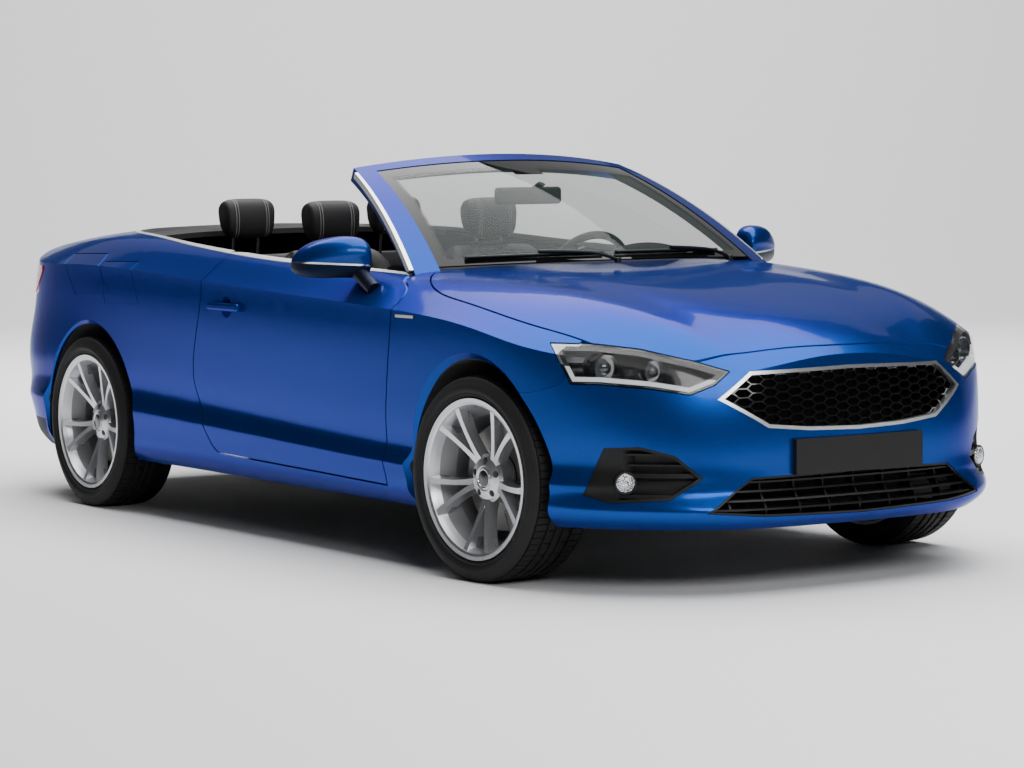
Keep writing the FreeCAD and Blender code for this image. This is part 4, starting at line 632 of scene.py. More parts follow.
# Each disc has a cast grey caliper over its edge, on the knuckle in front and on the hub
# carrier behind. The knuckles, frames and engine are bare castings.
CALIPER_LINE = [(0, 0.004, 0.112), (0, 0.030, 0.118), (0, 0.032, 0.178), (0, 0.024, 0.192),
                (0, -0.050, 0.192), (0, -0.062, 0.178), (0, -0.060, 0.118), (0, -0.035, 0.112),
                (0, -0.035, 0.1745), (0, 0.004, 0.1745)]
CALIPER_SPAN = math.radians(64)
caliper = spun(drawn("caliper", CALIPER_LINE, closed=True), 8, angle=CALIPER_SPAN)
sunk(caliper, lambda spot, way, size: way.y > 0.8 and spot.y > 0.02, (0.006, (0, -0.004, 0)))
tidied(eased(caliper, 0.003))
cast = Finish("cast_metal", (0.20, 0.20, 0.205), 0.55, 0.8)
grain = cast.noise(160.0)
cast.feed("Base Color", cast.mix(grain, (0.12, 0.12, 0.122), (0.26, 0.26, 0.265)))
cast.feed("Roughness", grain * 0.25 + 0.42)
cast.bump(grain, 0.5, 0.0008)
for wheel, turn in WHEELS.items():
    facing_nose = 1 if wheel.startswith("wheel_front") else -1
    swing = (math.pi / 2 - CALIPER_SPAN / 2) * facing_nose
    if wheel.endswith("right"):
        swing = -swing
    reach = Matrix.Rotation(swing - (CALIPER_SPAN / 2), 4, "Y")
    carrier = wheel.replace("wheel_front", "knuckle") if facing_nose == 1 else "body"
    finished(copied(caliper, wheel + "_caliper", turn @ reach), cast, carrier)
discarded(caliper)
dress(cast, "knuckle_right", "knuckle_left", "front_subframe", "rear_axle", "engine_block")

# The windscreen is laminated glass with a grey-green tint, bonded in behind a black ceramic
# band that widens round the mirror's foot and the rain sensor.
SCREEN_HALF = (0.655, 0.522)
SCREEN_EDGE_Z = (0.973, 1.301)
BAND = 0.024
TOP_Z = 1.335
TOP_DROP = 0.034
SENSOR_HALF = 0.055
SENSOR_LOW = 1.283
TINT = (0.030, 0.042, 0.040)
glass = Finish("windscreen_tint", TINT, 0.02, IOR=1.45, Specular_IOR_Level=0.2)
side_way = glass.place("Y").size()
height = glass.place("Z")
rise = (height - SCREEN_EDGE_Z[0]) * (1 / (SCREEN_EDGE_Z[1] - SCREEN_EDGE_Z[0]))
edge = rise * (SCREEN_HALF[1] - SCREEN_HALF[0]) + (SCREEN_HALF[0] - BAND)
crown = (side_way * (1 / SCREEN_HALF[1])).power(2.0) * -TOP_DROP + (TOP_Z - BAND)
dots = glass.cells(330.0).above(0.34)
fade = (side_way - edge).above(-0.010).either((height - crown).above(-0.010)) * dots
band = (side_way - edge).above(0.0).either((height - crown).above(0.0))
band = band.either(side_way.below(SENSOR_HALF) * height.above(SENSOR_LOW))
band = band.either(height.below(1.008)).either(fade * 0.85)
glass.feed("Base Color", glass.mix(band, TINT, (0.004, 0.004, 0.004)))
glass.feed("Alpha", band * 0.68 + 0.32)
dress(glass, "windscreen_glass")

# Each headlamp is a black bowl with two projectors in bright rings, a satin panel at its
# outer end and a white light guide along its lower edge, under a clear moulded cover.
PROJECTORS = (((1.991, 0.733, 0.703), 0.043), ((2.081, 0.614, 0.692), 0.036))
LENS_SHARE = 0.80
RING_SHARE = 1.12
RIDGE_SHARE = 1.75
bowl = Finish("lamp_bowl", (0.014, 0.014, 0.015), 0.14, Coat_Weight=0.5)
bowl_way = bowl.place("Y").size()
rings = domes = ridges = None
for (x, y, z), radius in PROJECTORS:
    span = ((bowl_way - y).power(2.0) + (bowl.place("Z") - z).power(2.0)
            + ((bowl.place("X") - x) * 0.4).power(2.0)).math("SQRT")
    ring = span.within(radius * LENS_SHARE, radius * RING_SHARE)
    dome = span.below(radius * LENS_SHARE)
    groove = (span * 2400.0).wave() * span.within(radius * RING_SHARE, radius * RIDGE_SHARE)
    rings = ring if rings is None else rings.either(ring)
    domes = dome if domes is None else domes.either(dome)
    ridges = groove if ridges is None else ridges + groove
panel = bowl.place("X").below(1.895) * bowl.place("Z").above(0.715)
shine = rings.either(panel * 0.8)
deep_colour = bowl.mix(domes, (0.016, 0.016, 0.018), (0.10, 0.11, 0.12))
bowl.feed("Base Color", bowl.mix(shine, deep_colour, (0.66, 0.67, 0.69)))
bowl.feed("Metallic", shine.either(domes * 0.6))
bowl.feed("Roughness", 0.16 + panel * 0.16 - domes * 0.10)
bowl.bump(ridges, 0.5, 0.002)
dress(bowl, "headlamps")
GUIDE_MID = (1.81, 0.722)
GUIDE_FALL = 0.14
GUIDE_OUTER = 1.865
guide = Finish("light_guide", (0.80, 0.83, 0.86), 0.22, Emission_Strength=0.10)
rise = guide.place("Z") + (guide.place("X") - GUIDE_MID[0]) * GUIDE_FALL
upper = rise.above(GUIDE_MID[1]) * guide.place("X").above(GUIDE_OUTER)
guide.feed("Base Color", guide.mix(upper, (0.80, 0.83, 0.86), (0.035, 0.035, 0.038)))
guide.feed("Emission Color", guide.mix(upper, (0.95, 0.97, 1.0), (0.0, 0.0, 0.0)))
guide.bump((guide.place("X") * 900.0).wave(), 0.15, 0.0006)
dress(guide, "headlamp_guides")
cover = Finish("lamp_cover", (0.02, 0.02, 0.022), 0.03, Alpha=0.10)
cover.feed("Roughness", cover.noise(14.0) * 0.03 + 0.01)
dress(cover, "headlamp_lenses")

# The fog lamps are round: a faceted bright bowl under a domed clear lens, pressed into the
# black inserts on each side.
FOG_PLACE = (2.0595, 0.715, 0.3533)
FOG_WAY = (1.0, 0.35)
FOG_LINE = [(-0.0050, 0.0298), (-0.0010, 0.0296), (0.0010, 0.0280), (-0.0008, 0.0262),
            (0.0040, 0.0210), (0.0072, 0.0120), (0.0080, 0.0001)]
SIDES = (("right", -1), ("left", 1))
fog_lens = turned("fog_lens", FOG_LINE, 36)
fog_glass = Finish("fog_glass", (0.62, 0.64, 0.67), 0.06, 0.75, Coat_Weight=1.0)
fog_cells = fog_glass.cells(190.0)
# Each facet is painted bright in its middle and dark at its edges: a painted glint on every facet.
fog_glass.feed("Base Color", fog_glass.mix(fog_cells, (0.90, 0.91, 0.94), (0.20, 0.21, 0.23)))
fog_glass.bump(fog_cells, 0.9, 0.003)
for side, sign in SIDES:
    way = Vector((FOG_WAY[0], FOG_WAY[1] * sign, 0)).normalized()
    place = Matrix.Translation((FOG_PLACE[0], FOG_PLACE[1] * sign, FOG_PLACE[2]))
    finished(copied(fog_lens, "fog_lens_" + side, place @ facing_way(way)), fog_glass, "body")
discarded(fog_lens)

# The tail lamps are glossy red mouldings in the rear corners. A band of fine dark slats runs
# along their middle and glows a little more than the rest.
red = Finish("tail_lamp_red", (0.42, 0.008, 0.008), 0.10, Coat_Weight=1.0)
slats = (red.place("Z") * 420.0 + red.place("X") * 160.0).wave()
core_band = red.place("Z").within(0.842, 0.884)
red.feed("Base Color", red.mix(core_band * slats.held(), (0.40, 0.007, 0.008),
                               (0.075, 0.002, 0.002)))
red.feed("Emission Color", red.mix(core_band, (0.10, 0.0, 0.0), (0.22, 0.004, 0.003)))
red.shader.inputs["Emission Strength"].default_value = 0.25
red.bump(slats * core_band, 0.35, 0.0015)
dress(red, "tail_lamps")

# The door mirrors have a painted cap over a black shell, with a bright line between the two,
# silvered glass behind and a black foot that stands on the door.
SPLIT_Z = 0.990
LINE_WIDTH = 0.006
MIRROR_ROUGH = 0.36
mirror = Finish("door_mirror_skin", BLUE, MIRROR_ROUGH, PAINT_METAL, **LACQUER)
rise = mirror.place("Z") - (mirror.place("Y").size() - 0.90) * 0.06
shell = rise.below(SPLIT_Z)
line = rise.within(SPLIT_Z, SPLIT_Z + LINE_WIDTH) * mirror.facing("X").above(-0.2)
silvered = mirror.facing("X").below(-0.80) * mirror.place("Y").size().above(0.815)
shell_colour = mirror.mix(shell, BLUE, BLACK)
mirror.feed("Base Color", mirror.mix(line.either(silvered), shell_colour, (0.80, 0.82, 0.84)))
mirror.feed("Metallic", (PAINT_METAL * (1 - shell)).either(line.either(silvered)))
mirror.feed("Roughness", (MIRROR_ROUGH + shell * 0.08) * (1 - silvered) * (1 - line * 0.6) + 0.02)
mirror.feed("Coat Weight", 0.5 * (1 - shell))
dress(mirror, "door_mirror_right", "door_mirror_left")
inner_mirror = Finish("interior_mirror_skin", BLACK, 0.5)
silvered = inner_mirror.facing("X").below(-0.9) * inner_mirror.place("Z").above(1.182)
inner_mirror.feed("Base Color", inner_mirror.mix(silvered, BLACK, (0.75, 0.77, 0.79)))
inner_mirror.feed("Metallic", silvered * 1.0)
inner_mirror.feed("Roughness", 0.5 - silvered * 0.47)
dress(inner_mirror, "interior_mirror")

# Two wipers are parked along the foot of the windscreen. Each is a black arm on a capped
# spindle in the scuttle, with a flexible blade that lies on the glass.
SCREEN_BASE = Vector((1.050, 0, 0.985))
SCREEN_TOP = Vector((0.330, 0, 1.335))
BASE_SWEEP = 0.150
BASE_DROP = 0.012
TOP_SWEEP = 0.062
SCREEN_BOW = 0.026


def on_screen(across, up, out=0.0):
    """A point on the windscreen: across from -1 to 1, up from 0 to 1, moved outwards."""
    base = SCREEN_BASE + Vector((-BASE_SWEEP * across ** 2, SCREEN_HALF[0] * across,
                                 -BASE_DROP * across ** 2))
    top = SCREEN_TOP + Vector((-TOP_SWEEP * across ** 2, SCREEN_HALF[1] * across,
                               -TOP_DROP * across ** 2))
    slope = (SCREEN_TOP - SCREEN_BASE).normalized()
    bow = 4 * SCREEN_BOW * up * (1 - up)
    return base + (top - base) * up + Vector((slope.z, 0, -slope.x)) * (bow + out)


def tube(name, points, radius, sides=8, flat=1.0, closed=False):
    """A smooth round or flattened bar along points."""
    start()
    curve = bpy.data.curves.new(name, "CURVE")
    curve.dimensions = "3D"
    spline = curve.splines.new("NURBS")
    spline.points.add(len(points) - 1)
    for point, place in zip(spline.points, points):
        point.co = (*place, 1)
    spline.order_u = 3
    spline.use_endpoint_u = not closed
    spline.use_cyclic_u = closed
    curve.bevel_depth = radius
    curve.bevel_resolution = max(0, sides // 2 - 2)
    curve.resolution_u = 6
    curve.use_fill_caps = True
    bar = bpy.data.objects.new(name, curve)
    bpy.context.scene.collection.objects.link(bar)
    grasp(bar)
    bpy.ops.object.convert(target="MESH")
    bar = bpy.context.object
    if flat != 1.0:
        middle = sum((Vector(point) for point in points), Vector()) / len(points)
        squeeze = (Matrix.Translation(middle) @ Matrix.Diagonal((1, 1, flat, 1))
                   @ Matrix.Translation(-middle))
        bar.data.transform(squeeze)
    return tidied(bar, 40)


WIPERS = (("right", -0.86, -0.10), ("left", -0.02, 0.74))
for side, tip, root in WIPERS:
    places = [tip + (root - tip) * count / 8 for count in range(9)]
    middle = on_screen((tip + root) / 2, 0.062, 0.022)
    foot = on_screen(root + 0.06, 0.006, 0.006)
    elbow = on_screen(root - 0.02, 0.030, 0.022)
    bend = (elbow + middle) / 2 + Vector((0.004, 0, 0.004))
    arm = tube("arm", [foot, elbow, bend, middle], 0.0062)
    blade = tube("blade", [on_screen(place, 0.058, 0.012) for place in places], 0.0062, 8, 0.8)
    lip = tube("lip", [on_screen(place, 0.060, 0.004) for place in places], 0.0026, 6)
    cap_piece = cylinder("cap", 24, 0.012, 0.018, foot)
    choose(cap_piece, "FACE", lambda spot, way, size: way.z > 0.9)
    bpy.ops.mesh.bevel(offset=0.003, segments=3, affect="EDGES")
    bpy.ops.object.mode_set(mode="OBJECT")
    finished(joined("wiper_" + side, arm, blade, lip, tidied(cap_piece)), black, "body")

# A slim bright strip on a black plastic base marks the rear of each front wing, just under
# the crease. Both are glued flat to the wing's skin.
STRIP_X = (1.012, 1.138)
STRIP_Z = 0.833
STRIP_HEIGHT = 0.013
STRIP_BASE = 0.0022


def pressed_on(piece, node, stand):
    """Lays a flat piece on a CAD node by projecting it across the car."""
    return modified(piece, "SHRINKWRAP", target=NODES[node], wrap_method="PROJECT", offset=stand,
                    wrap_mode="ABOVE_SURFACE", use_positive_direction=True,
                    use_negative_direction=True, use_project_y=True)


def plate(name, centre, size, turn, cuts=6):
    """A flat grid of a size, facing where the turn puts its Z axis."""
    start()
    bpy.ops.mesh.primitive_grid_add(x_subdivisions=cuts, y_subdivisions=cuts, size=1,
                                    location=centre, rotation=turn)
    bpy.context.object.scale = (size[0], size[1], 1)
    return named(name)


def thickened(piece, thickness, width, segments=2):
    """Gives a sheet a thickness behind its face, and rounded edges."""
    modified(piece, "SOLIDIFY", thickness=thickness, offset=-1.0)
    return eased(tidied(piece), width, segments)


for side, sign in SIDES:
    centre = (sum(STRIP_X) / 2, sign * 1.02, STRIP_Z)
    length = STRIP_X[1] - STRIP_X[0]
    for layer, share, stand, finish in (("base", 1.0, 0.0008, black),
                                        ("face", 0.88, STRIP_BASE, bright)):
        strip = plate("wing_strip_%s_%s" % (layer, side), centre,
                      (length * share, STRIP_HEIGHT * share ** 3), (-sign * math.pi / 2, 0, 0))
        pressed_on(strip, "fender_" + side, stand)
        finished(thickened(strip, 0.0026, 0.0005), finish, "body")

# A slim red lens carries each tail lamp on round the corner, bonded over the rear end of the
# quarter and drawn to a point along its upper edge.
TIP_X = (-1.992, -1.800)
TIP_Z = (0.800, 0.922)
TIP_PROUD = 0.0030
REACH = 0.007


def outermost(x, z, sign, *nodes):
    """How far out the nodes' skin stands at a height and length, gaps between them skipped."""
    found = []
    for node in nodes:
        for aside, above in ((-REACH, 0), (REACH, 0), (0, -REACH), (0, REACH)):
            hit, spot, _, _ = NODES[node].ray_cast(Vector((x + aside, sign * 1.2, z + above)),
                                                   Vector((0, -sign, 0)))
            found.append(spot.y * sign if hit else 0.0)
    return max(found)


for side, sign in SIDES:
    tip = plate("tail_lamp_tip_" + side, (sum(TIP_X) / 2, sign * 1.02, sum(TIP_Z) / 2),
                (TIP_X[1] - TIP_X[0], TIP_Z[1] - TIP_Z[0]), (-sign * math.pi / 2, 0, 0), 18)
    for vert in tip.data.vertices:
        forward = (vert.co.x - TIP_X[0]) / (TIP_X[1] - TIP_X[0])
        vert.co.z = TIP_Z[1] - (TIP_Z[1] - vert.co.z) * (1 - 0.82 * forward ** 1.6)
        vert.co.y = sign * (TIP_PROUD + outermost(vert.co.x, vert.co.z, sign, "tail_lamps",
                                                  "body_side_" + side))
    modified(tip, "SMOOTH", factor=0.5, iterations=2)
    finished(thickened(tip, 0.005, 0.0012, 3), red, "body")

# A flat guard of black plastic closes the nose from below. It is screwed to the lip of the
# bumper in front and reaches back under the radiator.
GUARD_X = (1.966, 2.196)
GUARD_HALF = 0.520
GUARD_Z = 0.221
GUARD_THICK = 0.003
guard = plate("nose_guard", (sum(GUARD_X) / 2, 0, GUARD_Z),
              (GUARD_X[1] - GUARD_X[0], 2 * GUARD_HALF), (0, 0, 0), 8)
finished(thickened(guard, GUARD_THICK, 0.0008), black, "body")

# The doors are closed inside by moulded cards: a soft top roll, an armrest with a pull cup,
# a bright release lever, a map pocket and a round speaker grille low in front.
soft_black = Finish("soft_touch_black", (0.020, 0.020, 0.022), 0.62,
                    Specular_IOR_Level=0.3)
hide = soft_black.cells(700.0)
soft_black.feed("Roughness", hide * 0.25 + 0.50)
soft_black.bump(hide, 0.45, 0.0005)
dress(soft_black, "door_card_right", "door_card_left", "dashboard", "centre_console")
CARD_Y = 0.745


def slab(name, low, high, round_size, segments=3):
    """A block between two corners with rounded edges."""
    start()
    middle = [(a + b) / 2 for a, b in zip(low, high)]
    bpy.ops.mesh.primitive_cube_add(size=1, location=middle)
    bpy.context.object.scale = [b - a for a, b in zip(low, high)]
    return eased(named(name), round_size, segments)


def up_face(least):
    """The test for the large faces that look up."""
    return lambda spot, way, size: way.z > 0.9 and size > least


def back_face(least):
    """The test for the large faces that look back into the cabin."""
    return lambda spot, way, size: way.x < -0.9 and size > least


roll = slab("roll", (-0.30, CARD_Y - 0.028, 0.868), (0.80, CARD_Y + 0.004, 0.940), 0.013, 4)
rest = slab("rest", (-0.28, CARD_Y - 0.062, 0.640), (0.42, CARD_Y + 0.004, 0.705), 0.020, 4)
sunk(rest, up_face(0.01), (0.012, (0, 0, -0.006)))
pocket = slab("pocket", (-0.10, CARD_Y - 0.045, 0.330), (0.56, CARD_Y + 0.004, 0.455), 0.016)
sunk(pocket, up_face(0.01), (0.006, (0, 0, -0.080)))
speaker = cylinder("speaker", 48, 0.078, 0.018, (0.735, CARD_Y - 0.006, 0.430),
                   (math.pi / 2, 0, 0))
sunk(speaker, lambda spot, way, size: way.y < -0.9, (0.007, (0, 0.005, 0)),
     (0.010, (0, -0.002, 0)))
lever = slab("lever", (0.50, CARD_Y - 0.026, 0.788), (0.64, CARD_Y - 0.014, 0.812), 0.005)
lever_foot = slab("lever_foot", (0.59, CARD_Y - 0.018, 0.778), (0.66, CARD_Y + 0.002, 0.822), 0.006)
trim_line = slab("trim_line", (-0.30, CARD_Y - 0.006, 0.742), (0.78, CARD_Y + 0.002, 0.760), 0.003)
card_parts = tidied(joined("card_parts", roll, rest, pocket, speaker))
release = tidied(joined("release", lever, lever_foot, trim_line))
for side, sign in SIDES:
    flip = Matrix.Diagonal((1, sign, 1, 1))
    finished(copied(card_parts, "door_card_parts_" + side, flip), soft_black, "door_" + side)
    finished(copied(release, "door_release_" + side, flip), bright, "door_" + side)
discarded(card_parts, release)

# The dashboard carries four air vents with slats, a dark display under the middle pair, and
# a cowl with two dials before the driver. All are clipped into its soft face.
VENT_SPOTS = ((0.5640, -0.600), (0.5580, -0.085), (0.5580, 0.085), (0.5640, 0.590))
VENT_Z = 0.900
VENT_LOW = (-0.010, -0.069, -0.026)
VENT_HIGH = (0.030, 0.069, 0.026)
SLAT_PITCH = 0.0105
KNOB_SPOTS = (-0.078, 0.0, 0.078)
rim = sunk(slab("rim", VENT_LOW, VENT_HIGH, 0.007), back_face(0.001), (0.0035, (0.022, 0, 0)))
slats = [slab("slat", (-0.005, -0.062, rise - 0.0012), (0.016, 0.062, rise + 0.0012), 0.0008, 2)
         for rise in [(count - 1.5) * SLAT_PITCH for count in range(4)]]
vent = joined("vent", *slats, slab("tab", (-0.011, -0.008, -0.004), (-0.001, 0.008, 0.004),
                                   0.002, 2))
places = [Matrix.Translation((x, y, VENT_Z)) for x, y in VENT_SPOTS]
for name, made, finish in (("vent_slats", vent, black), ("vent_frames", rim, gloss)):
    copies = [copied(made, "copy", place) for place in places]
    finished(tidied(joined(name, *copies)), finish, "body")
discarded(vent, rim)

screen_glass = Finish("display_glass", (0.006, 0.006, 0.007), 0.06, Coat_Weight=1.0)
lit_part = (screen_glass.place("Z").within(0.776, 0.858)
            * screen_glass.place("Y").size().below(0.098))
screen_glass.feed("Base Color", screen_glass.mix(lit_part, (0.012, 0.012, 0.013),
                                                 (0.004, 0.005, 0.007)))
display = slab("dash_display", (0.566, -0.108, 0.768), (0.592, 0.108, 0.866), 0.004)
finished(tidied(sunk(display, back_face(0.001), (0.006, (0.0016, 0, 0)))), screen_glass, "body")
panel = slab("climate_panel", (0.592, -0.110, 0.690), (0.640, 0.110, 0.752), 0.006)
finished(tidied(panel), gloss, "body")
knob = cylinder("knob", 32, 0.0165, 0.026, (0.583, 0, 0.722), (0, math.pi / 2, 0))
choose(knob, "FACE", back_face(0))
bpy.ops.mesh.bevel(offset=0.002, segments=2, affect="EDGES")
sunk(knob, lambda spot, way, size: way.x < -0.95, (0.003, (0.0015, 0, 0)))
knobs = [copied(knob, "knob", Matrix.Translation((0, y, 0))) for y in KNOB_SPOTS]
finished(tidied(joined("climate_knobs", *knobs)), bright, "body")
discarded(knob)
decor = [slab("decor", (0.566, low, 0.845), (0.580, high, 0.862), 0.003)
         for low, high in ((-0.66, -0.115), (0.115, 0.150), (0.560, 0.66))]
finished(tidied(joined("dash_strip", *decor)), bright, "body")

DIAL_Y = (0.305, 0.435)
DIAL_Z = 0.950
cowl = cylinder("instrument_cowl", 64, 1, 0.10, (0.600, 0.370, DIAL_Z), (0, math.pi / 2, 0),
                (0.056, 0.150))
eased(sunk(cowl, back_face(0), (0.008, (0.034, 0, 0))), 0.003, 3)
dials = Finish("instrument_dials", (0.016, 0.016, 0.018), 0.5)
deep = dials.place("X").above(0.578) * dials.facing("X").below(-0.5)
marks = None
for y in DIAL_Y:
    down, aside = dials.place("Z") - DIAL_Z, dials.place("Y") - y
    span = (down.power(2.0) + aside.power(2.0)).math("SQRT")
    turn_round = down.math("ARCTAN2", aside)
    ticks = (turn_round * 36.0).wave().above(0.80) * span.within(0.030, 0.0365)
    ring = span.within(0.0385, 0.0400)
    needle = (turn_round + 2.4).size().below(0.035) * span.within(0.006, 0.032)
    hub = span.below(0.006)
    found = ticks.either(ring).either(needle).either(hub)
    marks = found if marks is None else marks.either(found)
dials.feed("Base Color", dials.mix(marks * deep, (0.014, 0.014, 0.015), (0.75, 0.76, 0.78)))
dials.feed("Roughness", 0.55 - deep * 0.35)
finished(tidied(cowl), dials, "body")

# The steering wheel has a rim stitched in black leather, a padded boss in a satin ring and
# two clusters of switches. Its stalks stay on the column.
leather_black = Finish("rim_leather", (0.014, 0.014, 0.015), 0.50)
rim_grain = leather_black.cells(900.0)
leather_black.feed("Roughness", rim_grain * 0.2 + 0.42)
leather_black.bump(rim_grain, 0.4, 0.0004)
dress(leather_black, "steering_wheel")
column = next(joint for joint in frame["joints"] if joint["name"] == "steering_wheel_turn")
COLUMN_WAY = Vector(column["axis"]).normalized()
WHEEL_PLACE = Matrix.Translation(Vector(column["pos_m"])) @ facing_way(COLUMN_WAY)
BOSS_PLACE = WHEEL_PLACE @ Matrix.Diagonal((1, 1, 1.18, 1))
BOSS_LINE = [(-0.040, 0.0640), (-0.006, 0.0680), (0.004, 0.0655), (0.0065, 0.0610),
             (0.0120, 0.0570), (0.0200, 0.0440), (0.0240, 0.0260), (0.0250, 0.0001)]
boss = turned("steering_boss", BOSS_LINE, 48)
boss.data.transform(BOSS_PLACE)
boss_skin = Finish("boss_skin", (0.018, 0.018, 0.019), 0.55)
boss_skin.bump(boss_skin.cells(800.0), 0.35, 0.0004)
finished(boss, boss_skin, "steering_wheel")
ring_line = [(0.0680 * math.cos(a), 0.001, 0.0680 * math.sin(a))
             for a in [2 * math.pi * count / 24 for count in range(24)]]
boss_ring = tube("steering_boss_ring", ring_line, 0.0032, 8, closed=True)
boss_ring.data.transform(BOSS_PLACE)
finished(boss_ring, bright, "steering_wheel")
cluster = slab("switches", (-0.026, -0.012, -0.014), (0.026, 0.006, 0.020), 0.006)
sunk(cluster, lambda spot, way, size: way.y > 0.9 and size > 0.0004, (0.003, (0, 0.0018, 0)))
switches = [copied(cluster, "switches", Matrix.Translation((aside, 0, 0)))
            for aside in (-0.112, 0.112)]
discarded(cluster)
switch_pair = tidied(joined("steering_switches", *switches))
switch_pair.data.transform(WHEEL_PLACE @ Matrix.Rotation(math.pi / 2, 4, "Y"))
finished(switch_pair, gloss, "steering_wheel")
STALK_LINE = ((0, 0.030, 0), (-0.006, 0.090, 0.010), (-0.012, 0.155, 0.016))
root = Vector(column["pos_m"]) - COLUMN_WAY * 0.115
stalks = [tube("stalk", [root + Vector((x, sign * y, z)) for x, y, z in STALK_LINE],
               0.0085, 10, 0.8) for sign in (-1, 1)]
finished(joined("column_stalks", *stalks), black, "body")

# The console carries a gear lever in a sewn boot and two bright cup rings, set in a glossy
# frame that is clipped into its top.
console_frame = slab("console_frame", (-0.030, -0.083, 0.538), (0.215, 0.083, 0.556), 0.006)
finished(tidied(sunk(console_frame, up_face(0.001), (0.005, (0, 0, -0.003)))), gloss, "body")
CUP_LINE = [(0, 0.0385), (0.004, 0.0400), (0.0055, 0.0385), (0.004, 0.0365), (-0.003, 0.0355),
            (-0.004, 0.0001)]
upright = Matrix.Rotation(math.pi / 2, 4, "X")
cup = turned("cup", CUP_LINE, 36)
cups = [copied(cup, "cup", Matrix.Translation((x, 0, 0.5555)) @ upright) for x in (0.010, 0.100)]
finished(tidied(joined("cup_holders", *cups)), bright, "body")
discarded(cup)
BOOT_LINE = [(0, 0.040), (0.006, 0.041), (0.012, 0.036), (0.018, 0.034), (0.024, 0.027),
             (0.031, 0.025), (0.040, 0.018), (0.056, 0.013), (0.070, 0.0105)]
KNOB_LINE = [(0.066, 0.0001), (0.066, 0.012), (0.074, 0.019), (0.092, 0.0235),
             (0.108, 0.0235), (0.119, 0.017), (0.123, 0.008), (0.124, 0.0001)]
lever_place = Matrix.Translation((0.170, 0, 0.552)) @ upright
for name, line, finish in (("lever_boot", BOOT_LINE, boss_skin),
                           ("lever_knob", KNOB_LINE, leather_black)):
    part = turned(name, line, 28)
    part.data.transform(lever_place)
    finished(tidied(part), finish, "body")

# Three black pedals hang before the driver on bent arms. Loose mats of needled carpet lie on
# the floor before each of the four seats.
pedals = []
for y, width in ((0.452, 0.030), (0.375, 0.075), (0.290, 0.050)):
    pad = slab("pad", (-0.006, y - width / 2, -0.036), (0.006, y + width / 2, 0.036), 0.003, 2)
    pad.data.transform(Matrix.Translation((0.800, 0, 0.395))
                       @ Matrix.Rotation(math.radians(28), 4, "Y"))
    arm = tube("arm", [(0.806, y, 0.400), (0.835, y, 0.470), (0.842, y, 0.560),
                       (0.850, y, 0.640)], 0.007)
    pedals += [pad, arm]
finished(tidied(joined("pedals", *pedals)), black, "body")
MATS = ((0.44, 0.80, 0.20, -0.37), (0.44, 0.80, 0.20, 0.37), (-0.42, -0.20, 0.18, -0.34),
        (-0.42, -0.20, 0.18, 0.34))
mat_carpet = Finish("mat_carpet", (0.022, 0.022, 0.024), 0.95)
mat_carpet.bump(mat_carpet.noise(1600.0, 2.0), 0.8, 0.0012)
mats = [slab("mat", (back, y - half, 0.2556), (front, y + half, 0.2640), 0.003, 2)
        for back, front, half, y in MATS]
finished(tidied(joined("floor_mats", *mats)), mat_carpet, "body")

# The folded top lies behind the rear seat, under a cover in black sailcloth that is sewn from
# panels and fastened along its edges.
COVER_SEAM_Y = 0.36
COVER_SEAM_X = -1.245
COVER_SEAM_HALF = 0.0016
cover_cloth = Finish("stowage_cloth", (0.016, 0.016, 0.017), 0.85, Sheen_Weight=0.08,
                     Specular_IOR_Level=0.25)
thread = ((cover_cloth.place("X") * 2600.0).wave() * (cover_cloth.place("Y") * 2600.0).wave())
seam = (cover_cloth.place("Y").size() - COVER_SEAM_Y).size().below(COVER_SEAM_HALF)
seam = seam.either((cover_cloth.place("X") - COVER_SEAM_X).size().below(COVER_SEAM_HALF))
cover_cloth.feed("Base Color", cover_cloth.mix(cover_cloth.noise(30.0), (0.012, 0.012, 0.013),
                                               (0.026, 0.026, 0.028)))
cover_cloth.bump(thread * 0.5 - seam * 3.0, 0.5, 0.0006)
dress(cover_cloth, "top_cover")

# The seats are foam under black hide on steel frames. Each cushion and backrest has a hollow
# middle between raised sides, joined in deep seams, and the headrests are sewn from three
# panels. Pale stitches run along both sides of each seam, and the foam swells the covers.
SEAT_Y = 0.35
REAR_Y = 0.335
VOXEL = 0.007
SMOOTHING = 2
PRESSURE = 4.0
PUFF_FRAMES = 16
SEAM_HALF = 0.0060
STITCH_GAP = 0.0052
THREAD = 0.0010
STITCH_STEP = 0.0085


def bridged(name, loops):
    """A closed skin over loops of points that follow each other along Y."""
    rings = []
    for loop in loops:
        ring = drawn("ring", loop, closed=True)
        choose(ring, "FACE", lambda spot, way, size: True)
        bpy.ops.mesh.delete(type="ONLY_FACE")
        bpy.ops.object.mode_set(mode="OBJECT")
        rings.append(ring)
    piece = joined(name, *rings)
    places = [loop[0][1] for loop in loops]
    for low, high in zip(places, places[1:]):
        choose(piece, "EDGE", lambda spot, way, size: abs(way.y) < 0.01
               and min(abs(spot.y - low), abs(spot.y - high)) < 0.00002)
        bpy.ops.mesh.bridge_edge_loops()
    for end in (places[0], places[-1]):
        choose(piece, "EDGE", lambda spot, way, size: abs(way.y) < 0.01
               and abs(spot.y - end) < 0.00002)
        bpy.ops.mesh.edge_face_add()
    return tidied(piece)


